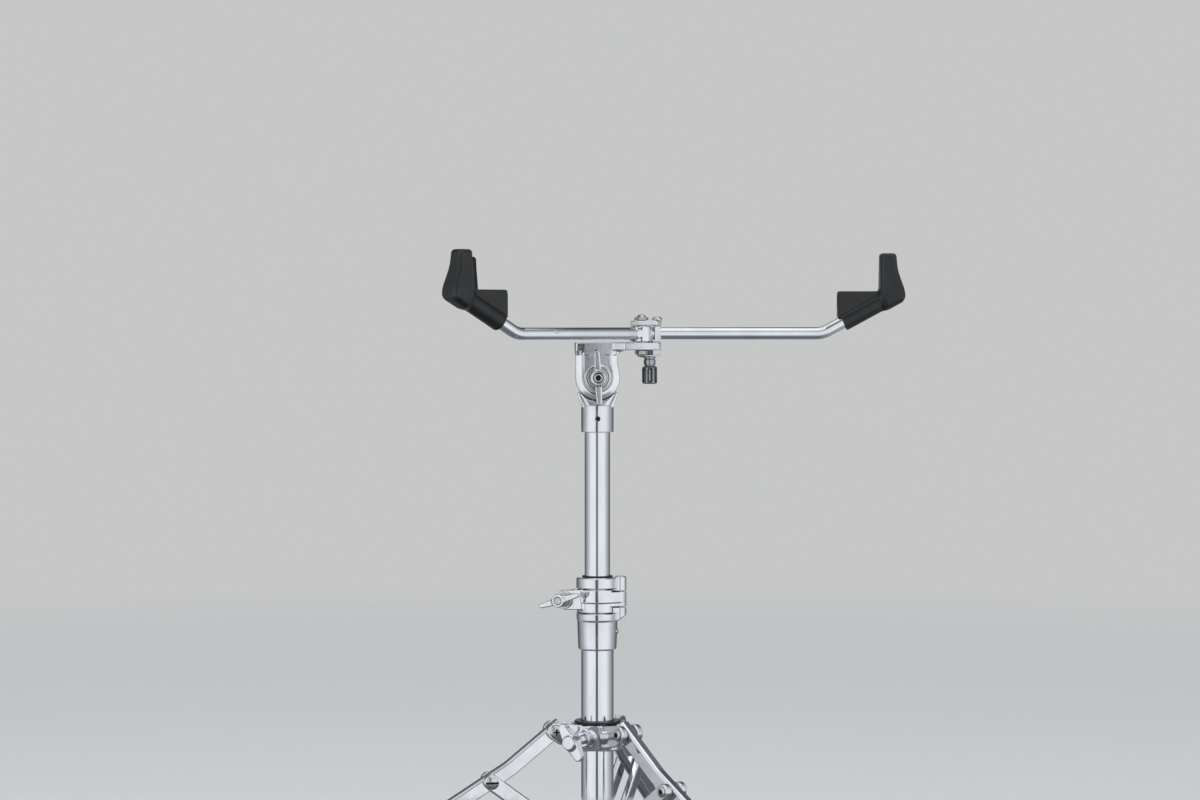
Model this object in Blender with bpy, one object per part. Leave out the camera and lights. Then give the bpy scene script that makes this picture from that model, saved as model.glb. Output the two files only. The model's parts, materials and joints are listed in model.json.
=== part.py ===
# Snare drum stand with a three-arm basket, in metres, floor at z = 0.
# The column axis is the working centre line; the last step centres the footprint on the origin.
import math

import bmesh
import bpy
from mathutils import Matrix, Vector

MM = 0.001

# Running gap between faces that touch, and the wider gap round a turning pin.
GAP = 0.3
PIN_GAP = 0.35

# Column tubes; the upper one slides in the main one on a guide.
UPPER_TUBE_D = 21.2
UPPER_TUBE_WALL = 1.5
UPPER_TUBE_BOTTOM = 200.0
MAIN_TUBE_WALL = 1.6
TUBE_CLEARANCE = 1.3
MAIN_TUBE_D = UPPER_TUBE_D + 2.0 * (TUBE_CLEARANCE + MAIN_TUBE_WALL)
MAIN_TUBE_BELOW = 20.2
PLUG_FLANGE = 5.0
PLUG_DEPTH = 9.0

# Heights of the main stations; the legs' length sets where the floor lies below them.
TILT_Z = 468.0
LEG_PIVOT_Z = 175.0
JAW_BOTTOM_Z = 272.4
JAW_HEIGHT = 20.7
JAW_TOP_Z = JAW_BOTTOM_Z + JAW_HEIGHT
CLAMP_SLEEVE = 30.7
CLAMP_BOTTOM_Z = JAW_BOTTOM_Z - CLAMP_SLEEVE
CLAMP_RING = 9.2
CLAMP_TOP_Z = JAW_TOP_Z + CLAMP_RING

# Tripod.
LEG_AZIMUTHS = {"left": 190.0, "right": 310.0, "rear": 70.0}
COLLAR_WALL = 6.6
COLLAR_CLEARANCE = 0.4
COLLAR_OUTER_R = MAIN_TUBE_D / 2.0 + COLLAR_CLEARANCE + COLLAR_WALL
CHEEK_REACH = 16.5
LEG_PIVOT_R = COLLAR_OUTER_R + CHEEK_REACH
LEG_UPPER_LENGTH = 48.0
LEG_UPPER_SLOPE = 39.0
LEG_LOWER_LENGTH = 253.0
LEG_LOWER_SLOPE = 32.0
LEG_WIDTH = 9.5
LEG_DEPTH = 12.7
LEG_WALL = 1.6
LEG_HEEL = 8.0
LEG_BEND_R = 40.0
LEG_END_HEIGHT = 10.723
STAY_AFTER_BEND = 19.2
STAY_THICKNESS = 6.2
STAY_END_R = 6.6
PIN_R = 3.0
PIN_HEAD_R = 5.4
PIN_HEAD = 2.2
CHEEK_THICKNESS = 6.0
CHEEK_END_R = 7.4
COLLAR_DROP = 16.3
COLLAR_RISE = 5.2
LOWER_COLLAR_WALL = 6.1
LOWER_COLLAR_HALF = 10.0
FOOT_HALF_WIDTH = 9.0
BOOT_WALL = 3.3
BOOT_LENGTH = 32.0
BOOT_TOE = 15.0
BOOT_HEEL = 16.0
COLLAR_BOLT_AZIMUTH = 240.0
COLLAR_BOLT_R = 3.2
COLLAR_BOSS = 5.5
COLLAR_BOLT_NECK = 11.0
COLLAR_WING_R = 17.0
COLLAR_WING_TURN = 122.0

# Height clamp.
CLAMP_WALL = 4.0
CLAMP_R = MAIN_TUBE_D / 2.0 + CLAMP_WALL
CLAMP_HINGE = (CLAMP_R + 1.5, -4.0)
KNUCKLE_R = 5.0
KNUCKLE_STEP_LOW = 5.0
KNUCKLE_STEP_HIGH = 1.9
KNUCKLE_LOW_Z = JAW_BOTTOM_Z + KNUCKLE_STEP_LOW
KNUCKLE_HIGH_Z = JAW_TOP_Z - KNUCKLE_STEP_HIGH
HINGE_PIN_R = 2.2
HINGE_PIN_HEAD_R = 3.6
EAR_POINT = (-CLAMP_R - 8.0, -5.0)
EAR_TURN = 28.0
EAR_THICKNESS = 5.0
EAR_HALF = 8.5
STUD_R = 3.0
STUD_HEAD_R = 4.4
CLAMP_WASHER_R = 7.6
CLAMP_WASHER = 1.5
CLAMP_NUT = 11.0
CLAMP_WING_R = 19.0
CLAMP_WING_TURN = 17.0
SET_SCREW_R = 2.4

# Tilter.
SLEEVE_WALL = 2.6
SLEEVE_R = UPPER_TUBE_D / 2.0 + GAP + SLEEVE_WALL
SLEEVE_DROP = 23.0
SLEEVE_LENGTH = 22.4
SLEEVE_TOP_Z = TILT_Z - SLEEVE_DROP
SLEEVE_BOTTOM_Z = SLEEVE_TOP_Z - SLEEVE_LENGTH
TONGUE_HALF = 7.0
TONGUE_R = 17.6
CHEEK_R = 18.3
HEAD_CLEARANCE = 0.4
HEAD_CHEEK = 7.6
CHEEK_OUTER_Y = TONGUE_HALF + HEAD_CLEARANCE + HEAD_CHEEK
TILT_BOLT_R = 4.0
TILT_WASHER_R = 8.4
TILT_WASHER = 1.6
TILT_NUT = 12.5
TILT_WING_R = 22.4

# Basket hub and arms; X is measured from the column axis.
BRIDGE_CLEARANCE = 1.4
BRIDGE = 3.7
HUB_PLATE_LOW = TILT_Z + TONGUE_R + BRIDGE_CLEARANCE + BRIDGE
HUB_PLATE = 6.3
HUB_PLATE_HIGH = HUB_PLATE_LOW + HUB_PLATE
ARM_R = 5.5
ARM_UNDER = 2.0
ARM_OVER = 1.0
ARM_Z = HUB_PLATE_HIGH + ARM_UNDER + ARM_R
HUB_CAP_LOW = ARM_Z + ARM_R + ARM_OVER
HUB_CAP = 4.0
HUB_CAP_HIGH = HUB_CAP_LOW + HUB_CAP
HUB_WALL = 5.0
HUB_NOSE = 15.7
PIVOT_X = 36.5
HUB_END_X = PIVOT_X + HUB_NOSE
EYE_R = 8.5
EYE_GAP = 1.0
PIVOT_Y = ARM_R + EYE_GAP + EYE_R
HUB_MARGIN = 8.0
HUB_HALF_WIDTH = PIVOT_Y + HUB_MARGIN
ARM_END_SLOPE = 28.5
ARM_BEND_BACK = 49.8
ARM_BEND_R = 22.0
LEFT_ARM_TURN = 37.5
LEFT_ARM_REACH = 180.0
RIGHT_FINGER_X = 236.8
RIGHT_ARM_INNER_X = 24.0
KNOB_BACK = 8.8
KNOB_X = HUB_END_X - KNOB_BACK
KNOB_R = 7.0
KNOB_GRIP = 14.6
KNOB_COLLAR_R = 5.4
KNOB_COLLAR = 8.0
STRAP_DROP = 5.2
STRAP_HALF = 5.0
STRAP_THICKNESS = 1.2

# Rubber claws, measured from the finger's drum-side face and the arm's level axis.
CLAW_WALL = 1.95
CLAW_SLEEVE_R = ARM_R + GAP + CLAW_WALL
CLAW_COVER = 7.96
CLAW_REST = ARM_BEND_BACK * math.tan(math.radians(ARM_END_SLOPE)) + CLAW_COVER
CLAW_REST_LENGTH = 36.5
CLAW_FINGER_HEIGHT = 31.5
CLAW_TOP = CLAW_REST + CLAW_FINGER_HEIGHT
CLAW_FINGER = 20.4
CLAW_ROOF = 4.0
CLAW_SLOT = 9.0
CLAW_SLOT_BACK = 14.0
CLAW_SLOT_HALF = 3.6
CLAW_REST_HALF = 7.0
CLAW_HALF_LOW = 10.0
CLAW_HALF_HIGH = 7.0

# Finish of each family: colour, metallic, roughness.
FINISHES = {
    "chrome": ((0.80, 0.81, 0.83, 1.0), 1.0, 0.08),
    "casting": ((0.76, 0.77, 0.79, 1.0), 1.0, 0.14),
    "nickel": ((0.70, 0.69, 0.66, 1.0), 1.0, 0.22),
    "nylon": ((0.02, 0.02, 0.022, 1.0), 0.0, 0.45),
    "rubber": ((0.018, 0.018, 0.019, 1.0), 0.0, 0.62),
}

for old in list(bpy.data.objects):
    bpy.data.objects.remove(old, do_unlink=True)


def finish_of(name, family):
    colour, metallic, roughness = FINISHES[family]
    material = bpy.data.materials.new(name + "_finish")
    material.use_nodes = True
    shader = material.node_tree.nodes["Principled BSDF"]
    shader.inputs["Base Color"].default_value = colour
    shader.inputs["Metallic"].default_value = metallic
    shader.inputs["Roughness"].default_value = roughness
    return material


def pivot(name, place, parent=None):
    empty = bpy.data.objects.new(name, None)
    empty.empty_display_size = 0.02
    bpy.context.scene.collection.objects.link(empty)
    empty.location = Vector(place) * MM
    bpy.context.view_layer.update()
    if parent is not None:
        empty.parent = parent
        empty.matrix_parent_inverse = parent.matrix_world.inverted()
        bpy.context.view_layer.update()
    return empty


def to_object(name, bm, matrix):
    bmesh.ops.transform(bm, matrix=Matrix.Scale(MM, 4) @ matrix, verts=bm.verts)
    bmesh.ops.recalc_face_normals(bm, faces=bm.faces)
    mesh = bpy.data.meshes.new(name)
    bm.to_mesh(mesh)
    bm.free()
    shape = bpy.data.objects.new(name, mesh)
    bpy.context.scene.collection.objects.link(shape)
    return shape


def lathe(name, profile, matrix=Matrix(), segments=24):
    # Profile points are (radius, height); a profile that leaves the axis is a closed ring.
    bm = bmesh.new()
    turns = [2.0 * math.pi * k / segments for k in range(segments)]
    rings = []
    for radius, height in profile:
        if radius < 1e-6:
            rings.append([bm.verts.new((0.0, 0.0, height))])
        else:
            spots = [(radius * math.cos(a), radius * math.sin(a), height) for a in turns]
            rings.append([bm.verts.new(spot) for spot in spots])
    on_axis = len(rings[0]) == 1 and len(rings[-1]) == 1
    pairs = list(zip(rings, rings[1:]))
    if not on_axis:
        pairs.append((rings[-1], rings[0]))
    for low, high in pairs:
        for k in range(segments):
            j = (k + 1) % segments
            corners = [low[k % len(low)], low[j % len(low)], high[j % len(high)], high[k % len(high)]]
            face = list(dict.fromkeys(corners))
            if len(face) > 2:
                bm.faces.new(face)
    return to_object(name, bm, matrix)


def prism(name, outline, low, high, matrix=Matrix()):
    bm = bmesh.new()
    bottom = [bm.verts.new((u, v, low)) for u, v in outline]
    top = [bm.verts.new((u, v, high)) for u, v in outline]
    bm.faces.new(bottom)
    bm.faces.new(top)
    for k in range(len(outline)):
        j = (k + 1) % len(outline)
        bm.faces.new((bottom[k], bottom[j], top[j], top[k]))
    return to_object(name, bm, matrix)


def sweep(name, path, profile, matrix=Matrix()):
    # Path is flat; a profile point is (offset along the path's normal, offset out of its plane).
    bm = bmesh.new()
    points = [Vector(p) for p in path]
    steps = [(b - a).normalized() for a, b in zip(points, points[1:])]
    rings = []
    for k, point in enumerate(points):
        before = steps[max(k - 1, 0)]
        after = steps[min(k, len(steps) - 1)]
        tangent = (before + after).normalized()
        normal = Vector((-tangent.y, tangent.x))
        stretch = 1.0 / max(tangent.dot(after), 0.2)
        ring = []
        for n, w in profile:
            spot = point + normal * n * stretch
            ring.append(bm.verts.new((spot.x, spot.y, w)))
        rings.append(ring)
    count = len(profile)
    for low, high in zip(rings, rings[1:]):
        for k in range(count):
            j = (k + 1) % count
            bm.faces.new((low[k], low[j], high[j], high[k]))
    bm.faces.new(rings[0])
    bm.faces.new(rings[-1])
    return to_object(name, bm, matrix)


def helper(shape):
    shape.hide_render = True
    shape.display_type = "WIRE"


def combine(target, other, operation):
    modifier = target.modifiers.new(operation.lower() + "_" + other.name, "BOOLEAN")
    modifier.operation = operation
    modifier.solver = "EXACT"
    modifier.object = other
    helper(other)
    other.parent = target


def cut(target, other):
    combine(target, other, "DIFFERENCE")


def fuse(target, other):
    combine(target, other, "UNION")


def node(shape, family, body):
    shape.data.materials.clear()
    shape.data.materials.append(finish_of(shape.name, family))
    shape.parent = body
    shape.matrix_parent_inverse = body.matrix_world.inverted()
    return shape


def aligned(origin, direction):
    # Frame whose Z axis follows the direction, with X kept level where it can be.
    z_axis = Vector(direction).normalized()
    side = Vector((0.0, 0.0, 1.0)).cross(z_axis)
    x_axis = side.normalized() if side.length > 1e-6 else Vector((1.0, 0.0, 0.0))
    y_axis = z_axis.cross(x_axis)
    turn = Matrix((x_axis, y_axis, z_axis)).transposed().to_4x4()
    return Matrix.Translation(Vector(origin)) @ turn


def upright_plane(azimuth, centre=(0.0, 0.0, 0.0)):
    # Plane coordinates (outward, up, sideways) of an upright plane through a vertical line.
    swap = Matrix(((1, 0, 0, 0), (0, 0, 1, 0), (0, 1, 0, 0), (0, 0, 0, 1)))
    turn = Matrix.Rotation(math.radians(azimuth), 4, "Z")
    return Matrix.Translation(Vector(centre)) @ turn @ swap


def arc(centre, radius, start, end, steps):
    cx, cy = centre
    turns = [math.radians(start + (end - start) * k / steps) for k in range(steps + 1)]
    return [(cx + radius * math.cos(a), cy + radius * math.sin(a)) for a in turns]


def bent(start, corner, end, radius, steps):
    # Path through a corner with the corner rounded to the given radius.
    a, b, c = Vector(start), Vector(corner), Vector(end)
    into, out = (b - a).normalized(), (c - b).normalized()
    half = into.angle(out) / 2.0
    reach = radius * math.tan(half)
    first = b - into * reach
    points = [a]
    for k in range(steps + 1):
        turn = 2.0 * half * k / steps
        along = math.sin(turn) * radius
        across = (1.0 - math.cos(turn)) * radius
        side = (out - into * out.dot(into)).normalized()
        points.append(first + into * along + side * across)
    points.append(c)
    return [(p.x, p.y) for p in points]


def circle(radius, count):
    return arc((0.0, 0.0), radius, 0.0, 360.0 * (count - 1) / count, count - 1)


def tube(name, outer, inner, low, high, segments=32):
    return lathe(name, [(inner, low), (outer, low), (outer, high), (inner, high)], segments=segments)


def rod(name, radius, low, high, matrix=Matrix(), segments=12):
    profile = [(0.0, low), (radius, low), (radius, high), (0.0, high)]
    return lathe(name, profile, matrix, segments)


def headed_pin(name, shank_r, low, high, head_r, head, matrix, foot_r=0.0, foot=0.0, segments=12):
    # Shank from low to high, a domed head above it and an optional domed end below it.
    profile = [(0.0, low)] if foot <= 0.0 else [(0.0, low - foot), (foot_r * 0.7, low - foot)]
    if foot > 0.0:
        profile += [(foot_r, low - foot * 0.45), (foot_r, low)]
    profile += [(shank_r, low), (shank_r, high), (head_r, high), (head_r, high + head * 0.55)]
    profile += [(head_r * 0.7, high + head), (0.0, high + head)]
    return lathe(name, profile, matrix, segments)


def wing(name, matrix, boss_r, low, high, span, root_half, tip_half, wing_low, wing_high, bore_r, turn):
    # Boss about Z with two tapered wings; the wings lie at the given turn about the axis.
    boss = [(0.0, low), (boss_r, low), (boss_r, high - 1.0), (boss_r - 1.0, high), (0.0, high)]
    if bore_r > 0.0:
        boss = [(bore_r, low), (boss_r, low), (boss_r, high - 1.0), (boss_r - 1.0, high), (bore_r, high)]
    body = lathe(name, boss, matrix, 20)
    spin = matrix @ Matrix.Rotation(math.radians(turn), 4, "Z")
    inner = bore_r + 0.9 if bore_r > 0.0 else boss_r * 0.4
    for side in (1.0, -1.0):
        tip = arc((span - tip_half, 0.0), tip_half, -90.0, 90.0, 6)
        outline = [(inner * side, -root_half)]
        outline += [(x * side, y) for x, y in tip]
        outline += [(inner * side, root_half)]
        blade = name + ("_wing_a" if side > 0 else "_wing_b")
        fuse(body, prism(blade, outline, wing_low, wing_high, spin))
    return body


main_r = MAIN_TUBE_D / 2.0
main_bore = main_r - MAIN_TUBE_WALL
upper_r = UPPER_TUBE_D / 2.0
collar_bore = main_r + COLLAR_CLEARANCE
collar_start = collar_bore + 1.6
tube_top = JAW_BOTTOM_Z - 4.4


# Leg line in its upright plane: pivot, bend, end; the stay pin sits past the bend.
def downhill(degrees):
    turn = math.radians(degrees)
    return Vector((math.cos(turn), -math.sin(turn)))


upper_dir = downhill(LEG_UPPER_SLOPE)
lower_dir = downhill(LEG_LOWER_SLOPE)
leg_pivot = Vector((LEG_PIVOT_R, LEG_PIVOT_Z))
leg_bend = leg_pivot + upper_dir * LEG_UPPER_LENGTH
leg_end = leg_bend + lower_dir * LEG_LOWER_LENGTH
stay_pin = leg_bend + lower_dir * STAY_AFTER_BEND
floor_z = leg_end.y - LEG_END_HEIGHT
low_pivot_z = 2.0 * stay_pin.y - LEG_PIVOT_Z
tube_bottom = low_pivot_z - MAIN_TUBE_BELOW
low_pivot = Vector((LEG_PIVOT_R, low_pivot_z))
leg_half = LEG_WIDTH / 2.0
cheek_inner = leg_half + 0.7
cheek_outer = cheek_inner + CHEEK_THICKNESS
stay_inner = leg_half + 0.4
stay_outer = stay_inner + STAY_THICKNESS

root = pivot("stand_root", (0.0, 0.0, 0.0))
column = pivot("column_frame", (0.0, 0.0, 0.0), root)
collar_slide = pivot("collar_slide", (0.0, 0.0, LEG_PIVOT_Z), root)
lift = pivot("height_slide", (0.0, 0.0, CLAMP_TOP_Z), root)
tilt = pivot("tilt_axis", (0.0, 0.0, TILT_Z), lift)

# Main tube and its plug.
node(tube("main_tube", main_r, main_bore, tube_bottom, tube_top), "chrome", column)
plug_r = main_bore - 0.4
plug_low = tube_bottom - PLUG_FLANGE
plug_rim = PLUG_FLANGE * 0.4
plug = [(0.0, plug_low), (main_r - plug_rim, plug_low), (main_r, plug_low + plug_rim)]
plug += [(main_r, tube_bottom - GAP), (plug_r, tube_bottom - GAP)]
plug += [(plug_r, tube_bottom + PLUG_DEPTH), (0.0, tube_bottom + PLUG_DEPTH)]
node(lathe("tube_end_plug", plug), "nylon", column)

# Lower collar: a ring with one tongue for each pair of stays.
low_r = collar_bore + LOWER_COLLAR_WALL
low_half = LOWER_COLLAR_HALF
low_ring = [(collar_bore, -low_half), (low_r - 1.2, -low_half), (low_r, 1.2 - low_half)]
low_ring += [(low_r, low_half - 1.2), (low_r - 1.2, low_half), (collar_bore, low_half)]
low_ring = [(r, low_pivot_z + z) for r, z in low_ring]
lower_collar = node(lathe("lower_collar", low_ring, segments=32), "casting", column)
tongue_half = leg_half - 0.2
tongue_end = STAY_END_R + 0.4
for side, azimuth in LEG_AZIMUTHS.items():
    plane = upright_plane(azimuth)
    outline = [(collar_start, low_pivot_z - tongue_end - 0.4)]
    outline += arc(low_pivot, tongue_end, -90.0, 90.0, 8)
    outline += [(collar_start, low_pivot_z + tongue_end + 0.4)]
    fuse(lower_collar, prism("tongue_" + side, outline, -tongue_half, tongue_half, plane))
for side, azimuth in LEG_AZIMUTHS.items():
    across = upright_plane(azimuth) @ Matrix.Translation((low_pivot.x, low_pivot.y, 0.0))
    through = stay_outer + 10.0
    cut(lower_collar, rod("tongue_hole_" + side, PIN_R + PIN_GAP, -through, through, across))
    seat = stay_outer + GAP
    pin = headed_pin(side + "_stay_pin", PIN_R, -seat, seat, PIN_HEAD_R, PIN_HEAD, across,
                     PIN_HEAD_R, PIN_HEAD)
    node(pin, "nickel", column)

# Sliding leg collar with a pair of cheeks for each leg.
ring_low = LEG_PIVOT_Z - COLLAR_DROP
ring_high = LEG_PIVOT_Z + COLLAR_RISE
ring = [(collar_bore, ring_low), (COLLAR_OUTER_R - 1.5, ring_low), (COLLAR_OUTER_R, ring_low + 1.5)]
ring += [(COLLAR_OUTER_R, ring_high - 1.5), (COLLAR_OUTER_R - 1.5, ring_high), (collar_bore, ring_high)]
leg_collar = node(lathe("leg_collar", ring, segments=32), "casting", collar_slide)
for side, azimuth in LEG_AZIMUTHS.items():
    plane = upright_plane(azimuth)
    outline = [(collar_start, ring_low + 1.9), (LEG_PIVOT_R - 2.0, ring_low + 6.2)]
    outline += arc(leg_pivot, CHEEK_END_R, -75.0, 95.0, 8)
    outline += [(collar_start, ring_high - 0.4)]
    fuse(leg_collar, prism("cheek_a_" + side, outline, cheek_inner, cheek_outer, plane))
    fuse(leg_collar, prism("cheek_b_" + side, outline, -cheek_outer, -cheek_inner, plane))
bolt_turn = math.radians(COLLAR_BOLT_AZIMUTH)
bolt_way = (math.cos(bolt_turn), math.sin(bolt_turn), 0.0)
bolt_line = aligned((0.0, 0.0, (ring_low + ring_high) / 2.0), bolt_way)
boss_end = COLLAR_OUTER_R + COLLAR_BOSS
boss_r = COLLAR_BOLT_R * 2.0
fuse(leg_collar, rod("bolt_boss", boss_r, collar_start + 1.4, boss_end, bolt_line, 20))
bolt_hole_r = COLLAR_BOLT_R + PIN_GAP
cut(leg_collar, rod("bolt_hole", bolt_hole_r, collar_bore - 4.0, boss_end + 4.0, bolt_line))
for side, azimuth in LEG_AZIMUTHS.items():
    across = upright_plane(azimuth) @ Matrix.Translation((leg_pivot.x, leg_pivot.y, 0.0))
    through = cheek_outer + 8.0
    cut(leg_collar, rod("cheek_hole_" + side, PIN_R + PIN_GAP, -through, through, across))
    seat = cheek_outer + GAP
    bolt = headed_pin(side + "_leg_bolt", PIN_R, -seat, seat, PIN_HEAD_R, PIN_HEAD, across,
                      PIN_HEAD_R, PIN_HEAD)
    node(bolt, "nickel", collar_slide)
bushing_r = COLLAR_OUTER_R - 2.0
bushing = [(collar_bore, ring_high + GAP), (bushing_r, ring_high + GAP)]
bushing += [(bushing_r, ring_high + 4.6), (bushing_r - 1.2, ring_high + 5.8)]
bushing += [(collar_bore, ring_high + 5.8)]
node(lathe("collar_bushing", bushing), "nylon", collar_slide)
hub_start = boss_end + COLLAR_BOLT_NECK
bolt_spin = pivot("collar_bolt_spin", bolt_line @ Vector((0.0, 0.0, hub_start + 3.0)), collar_slide)
wing_bolt = wing("collar_wing_bolt", bolt_line, COLLAR_BOLT_R + 3.0, hub_start, hub_start + 14.0,
                 COLLAR_WING_R, 5.4, 3.4, hub_start + 3.0, hub_start + 11.0, 0.0, COLLAR_WING_TURN)
fuse(wing_bolt, rod("collar_bolt_shank", COLLAR_BOLT_R, main_r + 0.7, hub_start + 1.0, bolt_line))
node(wing_bolt, "casting", bolt_spin)

# Legs, feet and stays.
leg_top = leg_pivot - upper_dir * LEG_HEEL
half_depth = LEG_DEPTH / 2.0
skin = half_depth - LEG_WALL
section = [(-half_depth, leg_half), (half_depth - 2.5, leg_half)]
section += [(half_depth - 0.7, leg_half - 0.7), (half_depth, leg_half - 2.5)]
section += [(n, -w) for n, w in reversed(section)]
inner_half = leg_half - LEG_WALL
section += [(-half_depth, -inner_half), (skin, -inner_half)]
section += [(skin, inner_half), (-half_depth, inner_half)]
boot_top = half_depth + BOOT_WALL
up_normal = Vector((-lower_dir.y, lower_dir.x))
sole_x = leg_end.x
heel_point = leg_end - lower_dir * BOOT_LENGTH
toe_point = leg_end + lower_dir * 6.0 + up_normal * boot_top
for side, azimuth in LEG_AZIMUTHS.items():
    plane = upright_plane(azimuth)
    swing = pivot(side + "_leg_swing", plane @ Vector((leg_pivot.x, leg_pivot.y, 0.0)), collar_slide)
    path = bent(leg_top, leg_bend, leg_end, LEG_BEND_R, 3)
    leg = sweep(side + "_leg", path, section, plane)
    at_pivot = plane @ Matrix.Translation((leg_pivot.x, leg_pivot.y, 0.0))
    cut(leg, rod(side + "_leg_hole", PIN_R + PIN_GAP, -LEG_WIDTH, LEG_WIDTH, at_pivot))
    node(leg, "chrome", swing)
    back_top = heel_point + up_normal * boot_top
    back_low = heel_point - up_normal * (half_depth + 2.5)
    boot = [tuple(back_top), tuple(toe_point), (sole_x + BOOT_TOE, floor_z + 9.0)]
    boot += [(sole_x + BOOT_TOE - 1.5, floor_z), (sole_x - BOOT_HEEL, floor_z), tuple(back_low)]
    foot = prism(side + "_foot", boot, -FOOT_HALF_WIDTH, FOOT_HALF_WIDTH, plane)
    pocket_n = half_depth + GAP
    pocket_w = leg_half + GAP
    pocket = [(-pocket_n, -pocket_w), (pocket_n, -pocket_w)]
    pocket += [(pocket_n, pocket_w), (-pocket_n, pocket_w)]
    pocket_start = leg_end - lower_dir * (BOOT_LENGTH + 13.0)
    pocket_path = [tuple(pocket_start), tuple(leg_end + lower_dir * GAP)]
    cut(foot, sweep(side + "_foot_pocket", pocket_path, pocket, plane))
    node(foot, "rubber", swing)
    stay_swing = pivot(side + "_stay_swing", plane @ Vector((low_pivot.x, low_pivot.y, 0.0)), column)
    lean = math.degrees(math.atan2(stay_pin.y - low_pivot.y, stay_pin.x - low_pivot.x))
    outline = arc(stay_pin, STAY_END_R, lean - 90.0, lean + 90.0, 8)
    outline += arc(low_pivot, STAY_END_R, lean + 90.0, lean + 270.0, 8)
    at_stay = plane @ Matrix.Translation((stay_pin.x, stay_pin.y, 0.0))
    at_low = plane @ Matrix.Translation((low_pivot.x, low_pivot.y, 0.0))
    for label, sign in (("a", 1.0), ("b", -1.0)):
        ends = sorted((stay_inner * sign, stay_outer * sign))
        stay = prism(side + "_stay_" + label, outline, ends[0], ends[1], plane)
        through = stay_outer + 3.0
        cut(stay, rod(side + "_stay_hole_" + label, PIN_R + PIN_GAP, -through, through, at_stay))
        cut(stay, rod(side + "_stay_low_hole_" + label, PIN_R + PIN_GAP, -through, through, at_low))
        node(stay, "chrome", stay_swing)
        facing = at_stay @ Matrix.Scale(sign, 4, (0.0, 0.0, 1.0))
        screw = headed_pin(side + "_stay_screw_" + label, PIN_R, stay_inner + GAP, stay_outer + GAP,
                           PIN_HEAD_R, PIN_HEAD, facing)
        node(screw, "nickel", stay_swing)

# Height clamp: sleeve on the main tube, rear half ring, top ring and hinge knuckles.
body_bore = main_r + GAP
grip_bore = upper_r + 1.3
outer = [(body_bore, CLAMP_BOTTOM_Z), (CLAMP_R - 1.3, CLAMP_BOTTOM_Z)]
outer += [(CLAMP_R - 0.6, JAW_BOTTOM_Z - 8.0)]
outer += [(CLAMP_R, JAW_BOTTOM_Z), (CLAMP_R, CLAMP_TOP_Z - 1.2), (CLAMP_R - 1.2, CLAMP_TOP_Z)]
outer += [(grip_bore, CLAMP_TOP_Z), (grip_bore, tube_top + GAP), (body_bore, tube_top + GAP)]
clamp_body = node(lathe("clamp_body", outer, segments=32), "casting", column)
far = CLAMP_R * 2.0 + 5.0
front = [(-far, 1.0), (-far, -far), (far, -far), (far, 1.0)]
cut(clamp_body, prism("jaw_space", front, JAW_BOTTOM_Z, JAW_TOP_Z))
hinge_x, hinge_y = CLAMP_HINGE
at_hinge = Matrix.Translation((hinge_x, hinge_y, 0.0))
web_x = CLAMP_R - KNUCKLE_R
web = [(web_x, 3.2), (web_x, -7.6), (hinge_x, hinge_y - KNUCKLE_R + 0.2), (hinge_x, 3.2)]
knuckle_foot = JAW_BOTTOM_Z - 6.4
knuckle_top = CLAMP_TOP_Z + 0.4
body_knuckles = {"low": (knuckle_foot, KNUCKLE_LOW_Z), "high": (KNUCKLE_HIGH_Z, knuckle_top)}
for label, (low, high) in body_knuckles.items():
    fuse(clamp_body, rod("body_knuckle_" + label, KNUCKLE_R, low, high, at_hinge, 20))
    fuse(clamp_body, prism("body_web_" + label, web, low + 0.05, min(high - 0.05, CLAMP_TOP_Z - 0.8)))
main_space = rod("main_tube_space", body_bore, CLAMP_BOTTOM_Z - 5.0, tube_top + GAP, segments=32)
cut(clamp_body, main_space)
jaw_space_r = KNUCKLE_R + 0.5
cut(clamp_body, rod("jaw_knuckle_space", jaw_space_r, KNUCKLE_LOW_Z, KNUCKLE_HIGH_Z, at_hinge, 20))
ear_turn = math.radians(EAR_TURN)
ear_out = Vector((-math.sin(ear_turn), -math.cos(ear_turn)))
ear_side = Vector((math.cos(ear_turn), -math.sin(ear_turn)))


def ear_at(out, side):
    spot = Vector(EAR_POINT) + ear_out * out + ear_side * side
    return (spot.x, spot.y)


ear_low = JAW_BOTTOM_Z + 3.4
ear_high = JAW_TOP_Z - 1.0
lug = [ear_at(-3.2, 0.5 - EAR_HALF), ear_at(-3.2, 2.0), (-CLAMP_R - 1.0, 1.3)]
lug += [(3.0 - CLAMP_R, 2.0), (3.5 - CLAMP_R, 9.0), ear_at(-10.0, 0.5 - EAR_HALF)]
fuse(clamp_body, prism("stud_lug", lug, ear_low, ear_high))
stud_z = (ear_low + ear_high) / 2.0
stud_line = aligned((EAR_POINT[0], EAR_POINT[1], stud_z), (ear_out.x, ear_out.y, 0.0))
stud_seat = 10.0
cut(clamp_body, rod("stud_hole", STUD_R + PIN_GAP, -20.0, 0.0, stud_line))
cut(clamp_body, rod("stud_seat", STUD_HEAD_R + 0.5, -24.0, -stud_seat, stud_line))
hinge_low = JAW_BOTTOM_Z - 20.0
hinge_high = CLAMP_TOP_Z + 5.0
cut(clamp_body, rod("hinge_hole_body", HINGE_PIN_R + GAP, hinge_low, hinge_high, at_hinge))
screw_line = aligned((0.0, 0.0, CLAMP_BOTTOM_Z + CLAMP_SLEEVE / 2.0), (0.98, -0.2, 0.0))
cut(clamp_body, rod("clamp_screw_hole", SET_SCREW_R + GAP, main_r - 1.5, CLAMP_R + 6.5, screw_line))
clamp_screw = headed_pin("clamp_set_screw", SET_SCREW_R, main_r + 0.4, CLAMP_R - 0.3,
                         SET_SCREW_R + 1.0, 1.8, screw_line)
node(clamp_screw, "nickel", column)
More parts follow.
